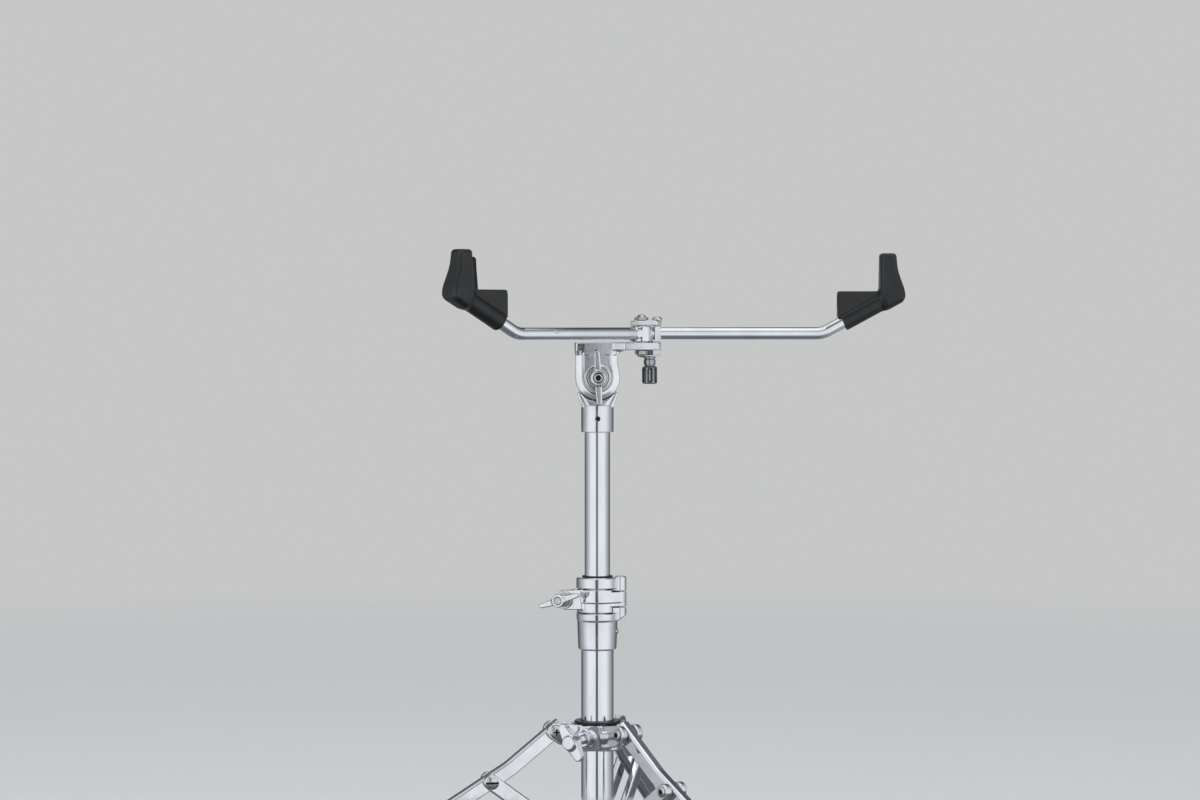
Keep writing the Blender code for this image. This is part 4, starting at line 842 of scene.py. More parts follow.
cheekOutline += [(legCollar["cheekRoot"], legCollar["high"] - 0.4)]


def legCollarField(p):
    # Ring with three pairs of cheeks and a bolt boss, filleted together, less the bore, slots and holes.
    look = legCollar
    body = uprightRod(p, 0.0, 0.0, look["outer"], look["low"], look["high"], look["rimEdge"])
    out, side, up = planeParts(p, look["flatTurn"])
    lean = look["flatOut"] - look["flatLean"] * (look["high"] - up)
    rib = roundMeet(np.abs(side - look["ribAt"]) - look["ribHalf"], out - lean - look["ribHigh"], 0.7)
    body = roundMeet(body, roundJoin(out - lean, rib, 0.6), 0.8)
    for turnDegrees in legTurns.values():
        out, side, up = planeParts(p, turnDegrees)
        flat = outlineField(out, up, cheekOutline)
        thick = slabField(np.abs(side), look["cheekInner"], look["cheekOuter"])
        body = roundJoin(body, roundMeet(flat, thick, look["cheekEdge"]), look["cheekFillet"])
        slot = np.maximum(np.abs(side) - look["cheekInner"], look["outer"] + 0.2 - out)
        body = cutOut(body, slot, 0.5)
        hole = np.hypot(out - look["pivotOut"], up - look["pivotUp"]) - look["hole"]
        body = cutOut(body, np.maximum(hole, np.abs(side) - 14.0), 0.4)
    boss = rodField(p, boltPlace, boltWay, look["boss"], 15.0, look["bossEnd"], 0.8)
    body = roundJoin(body, boss, look["bossFillet"])
    body = roundMeet(body, look["bore"] - np.hypot(p[:, 0], p[:, 1]), 0.6)
    return cutOut(body, rodField(p, boltPlace, boltWay, look["boltHole"], 8.0, 32.0, 0.1), 0.3)


collarSkin = castSkin(legCollarField, *legCollar["box"], legCollar["cell"])
dress("leg_collar", collarSkin, castChrome)
lowCollar = {"bore": 13.9, "outer": 20.0, "up": 94.238, "half": 10.0, "tongueHalf": 4.55,
             "tongueRadius": 7.0, "tongueRoot": 15.5, "pivotOut": 37.0, "hole": 3.35, "rimEdge": 1.4,
             "fillet": 1.8, "cell": 0.5, "box": ((-46, -46, 82.5), (46, 46, 106))}


def lowCollarField(p):
    # Ring with one round-ended tongue for each pair of stays, less the bore and the pin holes.
    look = lowCollar
    low, high = look["up"] - look["half"], look["up"] + look["half"]
    body = uprightRod(p, 0.0, 0.0, look["outer"], low, high, look["rimEdge"])
    for turnDegrees in legTurns.values():
        out, side, up = planeParts(p, turnDegrees)
        rise = up - look["up"]
        beyond = out - np.clip(out, look["tongueRoot"], look["pivotOut"])
        flat = np.hypot(beyond, rise) - look["tongueRadius"]
        body = roundJoin(body, roundMeet(flat, np.abs(side) - look["tongueHalf"], 0.8), look["fillet"])
        hole = np.hypot(out - look["pivotOut"], rise) - look["hole"]
        body = cutOut(body, np.maximum(hole, np.abs(side) - 9.0), 0.4)
    return roundMeet(body, look["bore"] - np.hypot(p[:, 0], p[:, 1]), 0.6)


dress("lower_collar", castSkin(lowCollarField, *lowCollar["box"], lowCollar["cell"]), castChrome)
print("collars: leg collar", len(collarSkin["points"]), "points")


# Legs, feet and stays

leg = {"pivot": (37.0, 175.0), "bend": (74.303, 144.793), "end": (288.859, 10.723), "heel": 8.0,
       "bendRadius": 40.0, "half": 4.75, "halfDepth": 6.35, "wall": 1.6, "corner": 2.9, "endRound": 0.35,
       "edgeWear": 0.5}
legPivot, legBend, legEnd = (np.array(leg[key]) for key in ("pivot", "bend", "end"))
upperWay, lowerWay = unit(legBend - legPivot), unit(legEnd - legBend)
legPath, legWays = bentPath(legPivot - upperWay * leg["heel"], legBend, legEnd, leg["bendRadius"], 10)
legHalf, legDepth = leg["half"], leg["halfDepth"]
innerHalf, innerTop = legHalf - leg["wall"], legDepth - leg["wall"]
channel = [(-legDepth, -legHalf), (legDepth, -legHalf), (legDepth, legHalf), (-legDepth, legHalf),
           (-legDepth, innerHalf), (innerTop, innerHalf), (innerTop, -innerHalf), (-legDepth, -innerHalf)]
section, sectionWays, sectionWear = (row[::-1] for row in softLine(channel, leg["corner"], True, 8))
legSkin = carriedSkin(legPath, legWays, section, sectionWays, leg["endRound"])
edgeWear = np.tile(sectionWear, len(legSkin["points"]) // len(section)) * leg["edgeWear"]
legSkin["wear"] = legSkin["wear"] + edgeWear
foot = {"half": 9.0, "wall": 3.3, "length": 32.0, "toe": 15.0, "heel": 16.0, "round": 2.2, "edge": 2.4,
        "pocketGap": 0.3, "ribPitch": 4.2, "ribDeep": 0.45, "ribLow": -31.0, "ribHigh": -10.0,
        "groove": 1.1, "cell": 0.6}
upNormal = np.array([-lowerWay[1], lowerWay[0]])
heelPoint = legEnd - lowerWay * foot["length"]
bootTop = legDepth + foot["wall"]
bootOutline = [tuple(heelPoint + upNormal * bootTop), tuple(legEnd + lowerWay * 6.0 + upNormal * bootTop),
               (legEnd[0] + foot["toe"], 9.0), (legEnd[0] + foot["toe"] - 1.5, 0.0),
               (legEnd[0] - foot["heel"], 0.0), tuple(heelPoint - upNormal * (legDepth + 2.5))]


def footField(p):
    # Rounded boot with ribs round its neck, a grooved sole and a pocket for the leg.
    out, side, up = p[:, 0] - legEnd[0], p[:, 1], p[:, 2]
    along = out * lowerWay[0] + (up - legEnd[1]) * lowerWay[1]
    across = out * upNormal[0] + (up - legEnd[1]) * upNormal[1]
    flat = outlineField(p[:, 0], up, bootOutline, foot["round"])
    body = roundMeet(flat, np.abs(side) - foot["half"], foot["edge"])
    low, high = foot["ribLow"], foot["ribHigh"]
    neck = ramp(along, low, low + 2.0) * ramp(-along, -high, 2.0 - high)
    ribs = 0.5 - 0.5 * np.cos(2 * np.pi * (along - low) / foot["ribPitch"])
    body = body + foot["ribDeep"] * neck * ribs
    for groove in np.linspace(-11.0, 10.0, 6):
        body = roundMeet(body, foot["groove"] - np.hypot(out - groove, up + 0.2), 0.35)
    gap = foot["pocketGap"]
    pocket = roundMeet(np.abs(across) - legDepth - gap, np.abs(side) - legHalf - gap, 1.6)
    return cutOut(body, np.maximum(pocket, along - gap), 0.5)


footSkin = castSkin(footField, (legEnd[0] - 38, -11, -1.4), (legEnd[0] + 18, 11, 42), foot["cell"])
stay = {"low": (37.0, 94.238), "high": (90.585, 134.619), "radius": 6.6, "inner": 5.15, "outer": 11.35,
        "edge": 1.5, "hole": 3.35, "cell": 0.46, "box": ((29, 4, 86), (99, 12.6, 143))}


def stayField(p):
    # Flat bar with round ends: distance from the line of its two holes, met by both faces.
    out, side, up = p.T
    (lowOut, lowUp), way = stay["low"], np.array(stay["high"]) - np.array(stay["low"])
    share = np.clip(((out - lowOut) * way[0] + (up - lowUp) * way[1]) / (way @ way), 0.0, 1.0)
    flat = np.hypot(out - lowOut - way[0] * share, up - lowUp - way[1] * share) - stay["radius"]
    body = roundMeet(flat, slabField(side, stay["inner"], stay["outer"]), stay["edge"])
    for holeOut, holeUp in (stay["low"], stay["high"]):
        body = roundMeet(body, stay["hole"] - np.hypot(out - holeOut, up - holeUp), 0.35)
    return body


staySkin = castSkin(stayField, *stay["box"], stay["cell"])
farStay = shifted(staySkin, (0.0, -stay["inner"] - stay["outer"], 0.0))
legPieces = {"_leg": (legSkin, barChrome), "_foot": (footSkin, clawRubber),
             "_stay_a": (staySkin, barChrome), "_stay_b": (farStay, barChrome)}
for side, turnDegrees in legTurns.items():
    for tail, (skin, finish) in legPieces.items():
        dress(side + tail, inPlane(skin, turnDegrees), finish)
print("legs: three, with feet and stays")


# Height clamp

clamp = {"radius": 17.5, "low": 241.7, "jawLow": 272.4, "jawHigh": 293.1, "high": 302.3, "bodyBore": 13.8,
         "gripBore": 11.9, "boreStep": 268.3, "knuckle": 5.0, "knuckleLow": 266.0, "knuckleMid": 277.4,
         "knuckleHigh": 291.2, "knuckleTop": 302.7, "webX": 12.5, "earHalf": 8.15, "jawGap": 0.75,
         "jawBore": 11.1, "foot": 15.9, "taper": 0.8, "taperEnd": 263.0, "stepUp": 265.2, "stepHigh": 2.2,
         "step": 0.45, "flare": 0.35, "pinHole": 2.5, "studHole": 3.35, "headHole": 4.9, "earHole": 4.2,
         "setHole": 2.7, "jawStepUp": 280.6, "jawStepHigh": 1.8, "jawStep": 0.5, "notchX": 12.0,
         "bodyCell": 0.44, "bodyBox": ((-36, -19.5, 240), (26, 20, 304.5)), "jawCell": 0.4,
         "jawBox": ((-38, -19.5, 270.5), (26, 3, 295))}


def earParts(p):
    # Own coordinates of points about the stud: distance from its line, and length along it.
    u, v, w = ((p - studPlace) @ way for way in levelFrame(earOut))
    return np.hypot(u, v), w


def lobeField(p, reach):
    # Round-ended lobe about the stud, open towards the ring.
    away, rise = (p - studPlace) @ earSide, p[:, 2] - studPlace[2]
    return np.hypot(away - np.clip(away, 0.0, 40.0), rise) - reach


def earSpot(out, side):
    # Plan place of a spot given along the stud and across it.
    return tuple((studPlace + earOut * out + earSide * side)[:2])


def hingeRod(p, radius, low, high, edge):
    return uprightRod(p, hingeX, hingeY, radius, low, high, edge)


lugOutline = [earSpot(-3.2, -8.0), earSpot(-3.2, 2.0), (-18.5, 1.3), (-14.5, 2.0), (-14.0, 9.0),
              earSpot(-10.0, -8.0)]
bodyWeb = [(clamp["webX"], 3.2), (clamp["webX"], -7.6), (hingeX, -8.8), (hingeX, 3.2)]
jawWeb = [(7.0, -0.4), (7.0, -13.5), (8.24, -15.42), (21.27, -8.46), (23.0, -4.0), (21.0, -0.4)]
jawEar = [earSpot(0.0, -8.5), earSpot(5.0, -8.5), earSpot(5.0, 8.5)]
jawEar += arcPoints((0.0, 0.0), 16.4, 224.0, 212.0, 1)


def clampBodyField(p):
    # Stepped sleeve, top ring, two hinge knuckles and a stud lug, less the jaw's place, bores and holes.
    x, y, z = p.T
    radial = np.hypot(x, y)
    swell = eased(ramp(z, clamp["stepUp"], clamp["stepUp"] + clamp["stepHigh"]))
    outer = clamp["foot"] + clamp["taper"] * ramp(z, clamp["low"], clamp["taperEnd"])
    outer = outer + clamp["step"] * swell + clamp["flare"] * ramp(z, clamp["stepUp"], clamp["jawLow"])
    body = roundMeet(radial - outer, slabField(z, clamp["low"], clamp["high"]), 1.7)
    space = np.maximum(y - 1.0, slabField(z, clamp["jawLow"], clamp["jawHigh"]))
    body = cutOut(body, space, 0.9)
    spans = [(clamp["knuckleLow"], clamp["knuckleMid"]), (clamp["knuckleHigh"], clamp["knuckleTop"])]
    for low, high in spans:
        web = roundMeet(outlineField(x, y, bodyWeb), slabField(z, low, min(high, clamp["high"] - 0.6)), 0.5)
        block = roundJoin(hingeRod(p, clamp["knuckle"], low, high, 0.6), web, 0.8)
        if low < clamp["jawLow"]:   # the lower knuckle slopes off below
            block = roundMeet(block, ((x - 24.2) * 6.0 - (z - 271.0) * 9.0) / 10.8, 1.2)
        body = roundJoin(body, block, 1.2)
    lug = roundMeet(outlineField(x, y, lugOutline, 0.6), lobeField(p, clamp["earHalf"]), 0.9)
    body = roundJoin(body, lug, 1.4)
    gap = hingeRod(p, clamp["knuckle"] + 0.5, clamp["knuckleMid"], clamp["knuckleHigh"], 0.1)
    body = cutOut(body, gap, 0.3)
    bore = np.where(z < clamp["boreStep"], clamp["bodyBore"], clamp["gripBore"])
    body = roundMeet(body, bore - radial, 0.5)
    body = cutOut(body, hingeRod(p, clamp["pinHole"], 250.0, 310.0, 0.1), 0.25)
    off, along = earParts(p)
    hole = np.maximum(off - clamp["studHole"], slabField(along, -20.0, 0.0))
    seat = np.maximum(off - clamp["headHole"], slabField(along, -24.0, -10.0))
    body = cutOut(body, np.minimum(hole, seat), 0.3)
    return cutOut(body, rodField(p, setPlace, setWay, clamp["setHole"], 12.0, 24.0, 0.1), 0.3)


bodySkin = castSkin(clampBodyField, *clamp["bodyBox"], clamp["bodyCell"])
dress("clamp_body", bodySkin, castChrome)


def clampJawField(p):
    # Half ring with a soft step round its front, a hinge knuckle and a round-ended ear, less bore and holes.
    x, y, z = p.T
    radial, gap = np.hypot(x, y), clamp["jawGap"]
    step = eased(ramp(z, clamp["jawStepUp"], clamp["jawStepUp"] + clamp["jawStepHigh"]))
    outer = clamp["radius"] - clamp["jawStep"] + clamp["jawStep"] * step
    ring = np.maximum(radial - outer, y - 0.4)
    ring = roundMeet(ring, slabField(z, clamp["jawLow"] + gap, clamp["jawHigh"] - gap), 0.8)
    low, high = clamp["knuckleMid"] + gap, clamp["knuckleHigh"] - gap
    notches = np.maximum(clamp["notchX"] - x, np.minimum(z - low, high - z))
    ring = cutOut(ring, notches, 0.8)
    web = roundMeet(outlineField(x, y, jawWeb) + clamp["radius"] - outer, slabField(z, low, high), 0.8)
    body = np.minimum(ring, roundJoin(hingeRod(p, clamp["knuckle"], low, high, 0.6), web, 0.8))
    ear = roundMeet(outlineField(x, y, jawEar, 0.5), lobeField(p, clamp["earHalf"]), 1.0)
    body = roundJoin(body, ear, 1.6)
    body = roundMeet(body, clamp["jawBore"] - radial, 0.4)
    off, along = earParts(p)
    body = cutOut(body, np.maximum(off - clamp["earHole"], slabField(along, -3.0, 12.0)), 0.4)
    return cutOut(body, hingeRod(p, clamp["pinHole"], 250.0, 310.0, 0.1), 0.25)


jawSkin = castSkin(clampJawField, *clamp["jawBox"], clamp["jawCell"])
dress("clamp_jaw", jawSkin, castChrome)
print("clamp: body", len(bodySkin["points"]), "and jaw", len(jawSkin["points"]), "points")


# Tilter base and head

base = {"sleeve": 13.5, "low": 422.6, "high": 445.0, "bore": 10.9, "boreTop": 439.3, "tongueHalf": 7.0,
        "tongueRadius": 17.6, "bolt": 4.35, "pinHole": 1.9, "pinUp": 433.9, "pinFloor": 11.9,
        "neckHigh": 455.5, "neckHalf": 13.0, "neckSpread": 0.28, "neckDeep": 10.8, "neckRound": 13.3,
        "neckFlow": 0.42, "saddle": 18.9, "cell": 0.44, "box": ((-20, -15.5, 421), (20, 15.5, 487.5))}
tongueOutline = [(13.6, 443.0), (14.2, 446.0), (17.0, 455.0)]
tongueOutline += arcPoints((0.0, tiltUp), base["tongueRadius"], -37.0, 217.0, 28)
tongueOutline += [(-17.0, 455.0), (-14.2, 446.0), (-13.6, 443.0)]


def tilterBaseField(p):
    # Round sleeve that flows into a flat tongue, less the tube's bore, the bolt hole and the pin hole.
    x, y, z = p.T
    radial, around, rise = np.hypot(x, y), np.hypot(x, z - tiltUp), z - base["high"]
    sleeve = roundMeet(radial - base["sleeve"], slabField(z, base["low"], base["high"]), 0.9)
    neck = np.abs(x) - base["neckHalf"] - base["neckSpread"] * rise
    neck = np.maximum(neck, np.abs(y) - base["neckDeep"])
    neck = roundMeet(neck, (radial - base["neckRound"] - base["neckFlow"] * rise) * 0.9, 1.2)
    neck = roundMeet(neck, slabField(z, base["high"] - 4, base["neckHigh"]), 1.2)
    neck = roundMeet(neck, base["saddle"] - around, 1.6)
    tongue = roundMeet(outlineField(x, z, tongueOutline), np.abs(y) - base["tongueHalf"], 0.9)
    body = roundJoin(roundJoin(sleeve, neck, 0.2), tongue, 0.8)
    body = cutOut(body, np.maximum(radial - base["bore"], z - base["boreTop"]), 0.5)
    body = roundMeet(body, base["bolt"] - around, 0.4)
    pin = np.maximum(np.hypot(x, z - base["pinUp"]) - base["pinHole"], y + base["pinFloor"])
    return cutOut(body, pin, 0.35)


def pinHoleShade(p):
    # Painted shade inside the pin hole.
    hole = np.hypot(p[:, 0], p[:, 2] - base["pinUp"]) < base["pinHole"] + 0.1
    return hole * (p[:, 1] < 2.0 - base["sleeve"]) * 1.0


baseSkin = castSkin(tilterBaseField, *base["box"], base["cell"], pinHoleShade)
dress("tilter_base", baseSkin, castChrome)
head = {"cheek": 18.3, "inner": 7.4, "outer": 15.0, "plateLow": 490.7, "plateHigh": 497.0,
        "bridgeLow": 487.0, "bridgeHigh": 492.0, "bridgeHalf": 14.6, "bolt": 4.35, "rimWide": 5.0,
        "rimDeep": 2.2, "panelIn": 5.6, "panelDeep": 1.1, "panelSlope": 1.5, "panelTop": 21.0, "land": 9.6,
        "cheekTop": 28.0, "shadowLine": 9.1, "shadowWide": 0.8, "hole": 3.35, "cell": 0.44,
        "box": ((-20, -24.5, 448), (54, 24.5, 498.5))}
knobX = 43.4
headCheek = [(-18.3, 42.0)] + arcPoints((0.0, 0.0), head["cheek"], 180.0, 360.0, 26)
headCheek += [(17.7, 6.0), (16.4, 12.0), (16.2, 16.6), (16.8, 18.9), (18.4, 20.8), (21.5, 22.3),
              (26.0, 23.3), (26.0, 42.0)]
headPlan = [(-18.3, -15.0), (12.0, -15.0), (22.0, -23.0), (49.2, -23.0), (52.2, -20.0)]
headPlan += [(x, -y) for x, y in reversed(headPlan)]


def tilterHeadField(p):
    # Two U-shaped cheeks with a sloped rim and a sunk panel, a bridge and the hub's lower plate, filleted.
    x, y, z = p.T
    rise = z - tiltUp
    flat, around = outlineField(x, rise, headCheek), np.hypot(x, rise)
    face, back = np.abs(y) - head["outer"], head["inner"] - np.abs(y)
    wide, deep = head["rimWide"], head["rimDeep"]
    rim = (flat * deep + face * wide + deep * wide) / math.hypot(deep, wide)
    cheek = roundMeet(roundMeet(flat, np.maximum(face, back), 0.6), rim, 0.7)
    inward = np.minimum(np.minimum(-flat - head["panelIn"], around - head["land"]), head["panelTop"] - rise)
    dip = head["panelDeep"] * eased(ramp(inward, 0.0, head["panelSlope"]))
    cheek = roundMeet(cheek, (face + dip) * 0.85, 0.5)
    cheek = np.maximum(cheek, rise - head["cheekTop"])
    plate = slabField(z, head["plateLow"], head["plateHigh"])
    plate = roundMeet(outlineField(x, y, headPlan, 1.6), plate, 1.0)
    bridge = np.maximum(slabField(x, -18.0, 15.0), np.abs(y) - head["bridgeHalf"])
    bridge = np.maximum(bridge, slabField(z, head["bridgeLow"], head["bridgeHigh"]))
    body = roundJoin(roundJoin(cheek, plate, 1.6), bridge, 1.0)
    body = roundMeet(body, head["bolt"] - around, 0.4)
    for holeX, holeY in ((pivotNuts["x"], pivotNuts["y"]), (pivotNuts["x"], -pivotNuts["y"]), (knobX, 0.0)):
        body = roundMeet(body, head["hole"] - np.hypot(x - holeX, y - holeY), 0.35)
    return body


def washerRingShadow(p):
    # Painted shadow: a dark line on the cheeks round the washer's rim.
    off = np.abs(np.hypot(p[:, 0], p[:, 2] - tiltUp) - head["shadowLine"])
    return np.clip(1.0 - off / head["shadowWide"], 0.0, 1.0) * (np.abs(p[:, 1]) > head["outer"] - 1.0)


headSkin = castSkin(tilterHeadField, *head["box"], head["cell"], washerRingShadow)
dress("tilter_head", headSkin, castChrome)
cap = {"low": 511.0, "high": 515.0, "wallIn": 47.2, "wallOut": 52.15, "wallHalf": 9.0, "wallLow": 497.3,
       "wallHigh": 513.0, "armUp": 504.5, "socket": 5.8, "socketFloor": 40.0, "screwHole": 1.8,
       "hole": 3.35, "cell": 0.4, "box": ((25.5, -24.5, 496), (53.6, 24.5, 516.5))}
capPlan = [(27.0, -19.0), (31.0, -23.0), (48.2, -23.0), (52.2, -19.0)]
capPlan += [(x, -y) for x, y in reversed(capPlan)]


def hubCapField(p):
    # Rounded plate with an end wall, less the arm's socket and the screw holes.
    x, y, z = p.T
    plate = roundMeet(outlineField(x, y, capPlan, 1.8), slabField(z, cap["low"], cap["high"]), 1.0)
    wall = np.maximum(slabField(x, cap["wallIn"], cap["wallOut"]), np.abs(y) - cap["wallHalf"])
    body = roundJoin(plate, roundMeet(wall, slabField(z, cap["wallLow"], cap["wallHigh"]), 0.6), 1.6)
    socket = np.maximum(np.hypot(y, z - cap["armUp"]) - cap["socket"], cap["socketFloor"] - x)
    body = cutOut(body, socket, 0.5)
    body = cutOut(body, np.maximum(np.hypot(x - capScrewX, y) - cap["screwHole"], 512.0 - z), 0.3)
    for holeY in (pivotNuts["y"], -pivotNuts["y"]):
        body = roundMeet(body, cap["hole"] - np.hypot(x - pivotNuts["x"], y - holeY), 0.35)
    return body


dress("hub_cap", castSkin(hubCapField, *cap["box"], cap["cell"]), castChrome)
print("tilter: base", len(baseSkin["points"]), "and head", len(headSkin["points"]), "points")


# Strap and thumb screw

strap = {"inner": 37.4, "x": 52.5, "thick": 1.2, "low": 485.5, "high": 497.0, "half": 5.0, "hole": 3.35,
         "bend": 2.4, "cell": 0.3, "box": ((36, -6.2, 484), (55, 6.2, 498.5))}


def strapField(p):
    # Bent strip: a level leg and an upright leg with a round outer bend, less the screw hole.
    x, y, z = p.T
    far, top = strap["x"] + strap["thick"], strap["low"] + strap["thick"]
    level = np.maximum(slabField(x, strap["inner"], far), slabField(z, strap["low"], top))
    upright = np.maximum(slabField(x, strap["x"], far), slabField(z, strap["low"], strap["high"]))
    strip = np.maximum(roundJoin(level, upright, 1.4), roundMeet(x - far, strap["low"] - z, strap["bend"]))
    strip = roundMeet(strip, np.abs(y) - strap["half"], 0.3)
    return roundMeet(strip, strap["hole"] - np.hypot(x - knobX, y), 0.2)


dress("arm_strap", castSkin(strapField, *strap["box"], strap["cell"]), barChrome)
knob = {"collar": 4.9, "groove": 4.1, "collarTop": 485.2, "gripTop": 477.2, "gripLow": 462.6, "grip": 6.3,
        "gripEnd": 5.4, "flutes": 6, "depth": 1.7, "land": 1.5, "sides": 192, "soft": 0.25}
knobRod = {"radius": 3.0, "low": 483.2, "high": 498.6, "pitch": 1.0, "depth": 0.4, "threadLow": 485.2,
           "threadHigh": 498.2}
gripLow, gripTop, collarTop = knob["gripLow"], knob["gripTop"], knob["collarTop"]
grip, gripEnd, groove, collar = (knob[key] for key in ("grip", "gripEnd", "groove", "collar"))
knobCorners = [(0.0, gripLow + 0.8), (3.4, gripLow + 0.8), (4.2, gripLow), (gripEnd, gripLow),
               (grip, gripLow + 1.2)]
knobCorners += [(grip, level) for level in np.linspace(gripLow + 2.4, gripTop - 2.4, 14)]
knobCorners += [(grip, gripTop - 1.0), (gripEnd, gripTop - 0.2), (groove, gripTop + 0.3),
                (groove, gripTop + 0.9), (collar, gripTop + 1.3), (collar, collarTop - 2.6),
                (groove, collarTop - 2.2), (groove, collarTop - 1.8), (collar, collarTop - 1.5),
                (collar, collarTop), (0.0, collarTop)]


def gripShare(level):
    # One along the grip, fading to nought at its ends.
    return ramp(level, gripLow + 1.0, gripLow + 2.6) * ramp(-level, 1.2 - gripTop, 2.4 - gripTop)


def fluteWave(theta, level):
    # Flutes: broad grooves between narrow lands, fading out at the grip's ends.
    land = 0.5 + 0.5 * np.cos(knob["flutes"] * theta)
    return -knob["depth"] * (1.0 - land ** knob["land"]) * gripShare(level)


def fluteShade(p):
    # Painted shade on the flutes' walls, clear on the lands and along the flutes' middles.
    return np.sin(knob["flutes"] * np.arctan2(p[:, 1], p[:, 0])) ** 2 * gripShare(p[:, 2])


gripSkin = waveNormals(turnedSkin(knobCorners, knob["soft"], False, knob["sides"], fluteShade, fluteWave))
dress("basket_knob", shifted(joined(gripSkin, threadedRod(**knobRod)), (knobX, 0.0, 0.0)), knobPlate)
print("hub: cap, strap and thumb screw")


# Basket arms and rubber claws

arm = {"radius": 5.1, "up": 504.5, "slope": 28.5, "bendBack": 49.8, "bendRadius": 22.0, "inner": 24.0,
       "intoClaw": 3.0, "rightFinger": 236.8, "leftReach": 180.0, "leftTurn": 37.5, "eye": 8.5,
       "eyeHalf": 6.5, "eyeHole": 3.35, "eyeUp": -0.5, "barStart": 5.2, "stubEnd": 13.5, "pinAt": 94.0,
       "pinUp": 1.2, "pin": 1.4, "pinLong": 1.2, "pinSunk": 0.9, "eyeCell": 0.4}
armRise = np.array([math.cos(math.radians(arm["slope"])), math.sin(math.radians(arm["slope"]))])
circleTurns = np.linspace(0.0, 2 * np.pi, 56, endpoint=False)
circleWays = np.stack([-np.cos(circleTurns), np.sin(circleTurns)], 1)


def armBar(start, reach):
    # Round bar: level from its start, bent up to the slope and on into the claw at its reach.
    corner = np.array([reach - arm["bendBack"], arm["up"]])
    end = corner + armRise * (arm["bendBack"] + arm["intoClaw"]) / armRise[0]
    path, ways = bentPath((start, arm["up"]), corner, end, arm["bendRadius"], 14)
    return carriedSkin(path, ways, circleWays * arm["radius"], circleWays, 1.0)


def eyeField(p):
    # Flat-faced eye joined by a fillet to a short stub just inside the bar, less the hole.
    out, side, up = p[:, 0], p[:, 1], p[:, 2] - arm["up"]
    stub = np.hypot(side, up) - arm["radius"] + 0.03
    stub = roundMeet(stub, slabField(out, arm["barStart"], arm["stubEnd"]), 0.3)
    eye = roundMeet(np.hypot(out, side) - arm["eye"], np.abs(up - arm["eyeUp"]) - arm["eyeHalf"], 1.2)
    return roundMeet(roundJoin(stub, eye, 2.0), arm["eyeHole"] - np.hypot(out, side), 0.35)


def pinFaceShade(p):
    # Painted shade in the middle of the pin's face.
    return (np.hypot(p[:, 0], p[:, 1]) < arm["pin"] * 0.7) * 1.0


dress("right_arm", armBar(arm["inner"], arm["rightFinger"]), barChrome)
eyeLow, eyeHigh = (-10, -10, arm["up"] - 9), (arm["stubEnd"] + 1, 10, arm["up"] + 8)
eyeSkin = castSkin(eyeField, eyeLow, eyeHigh, arm["eyeCell"])
pinProfile = [(0.0, 0.0), (arm["pin"], 0.0), (arm["pin"], arm["pinLong"]), (0.0, arm["pinLong"])]
pinPlace = (arm["pinAt"], arm["radius"] - arm["pinSunk"], arm["up"] + arm["pinUp"])
pinSkin = alongLine(turnedSkin(pinProfile, 0.25, False, 32, pinFaceShade), pinPlace, -yFront)
leftArm = joined(armBar(arm["barStart"], arm["leftReach"]), eyeSkin, pinSkin)
claw = {"sleeve": 7.75, "sleeveLow": -32.8, "sleeveHigh": 13.5, "restHalf": 5.2, "restEdge": 1.8,
        "restRound": 2.2, "fingerTop": 66.5, "pad": 2.2, "bore": 5.8, "boreEnd": 3.4, "slotHalf": 2.6,
        "bevel": 2.4, "chamfer": 1.4, "heelRound": 3.0, "topRound": 3.2, "blend": 5.0, "cell": 0.46,
        "box": ((-42, -12, 0), (23.0, 12, 68))}
restOutline = [(-37.3, 35.0), (3.0, 35.0), (9.0, 30.0), (-24.0, 12.0), (-37.3, 12.6)]
slotOutline = [(-39.5, 22.0), (-39.5, 31.0), (-14.0, 31.0), (-20.0, 22.0)]


def smoothLine(spots, steps):
    # Curve through the spots, each stretch a cubic whose ends lean along the neighbours' line.
    spots = np.asarray(spots, float)
    whole = np.vstack([2 * spots[0] - spots[1], spots, 2 * spots[-1] - spots[-2]])
    a, b, c, d = (whole[k:len(whole) - 3 + k, None] for k in range(4))
    t = np.linspace(0.0, 1.0, steps, endpoint=False)[None, :, None]
    bend, twist = 2 * a - 5 * b + 4 * c - d, 3 * b - a - 3 * c + d
    curve = 0.5 * (2 * b + (c - a) * t + bend * t**2 + twist * t**3)
    return [tuple(p) for p in np.vstack([curve.reshape(-1, 2), spots[-1:]])]


fingerBack = [(11.3, 74.0), (11.5, 66.5), (11.8, 61.6), (12.2, 57.0), (12.9, 52.4), (14.2, 47.7),
              (15.7, 43.1), (17.1, 39.4), (18.1, 35.8), (18.6, 32.0), (18.5, 27.0), (17.6, 20.0)]
fingerOutline = [(-claw["pad"], 30.0), (-claw["pad"], 74.0)] + smoothLine(fingerBack, 7) + [(6.0, 14.0)]
# Half width of the finger by height.
fingerSpots = [(16.0, 7.0), (22.0, 7.8), (27.0, 8.8), (32.0, 9.6), (38.0, 9.7), (46.0, 8.9), (56.0, 7.7),
               (67.0, 7.0), (76.0, 6.8)]
fingerHalf = np.array(smoothLine(fingerSpots, 6))


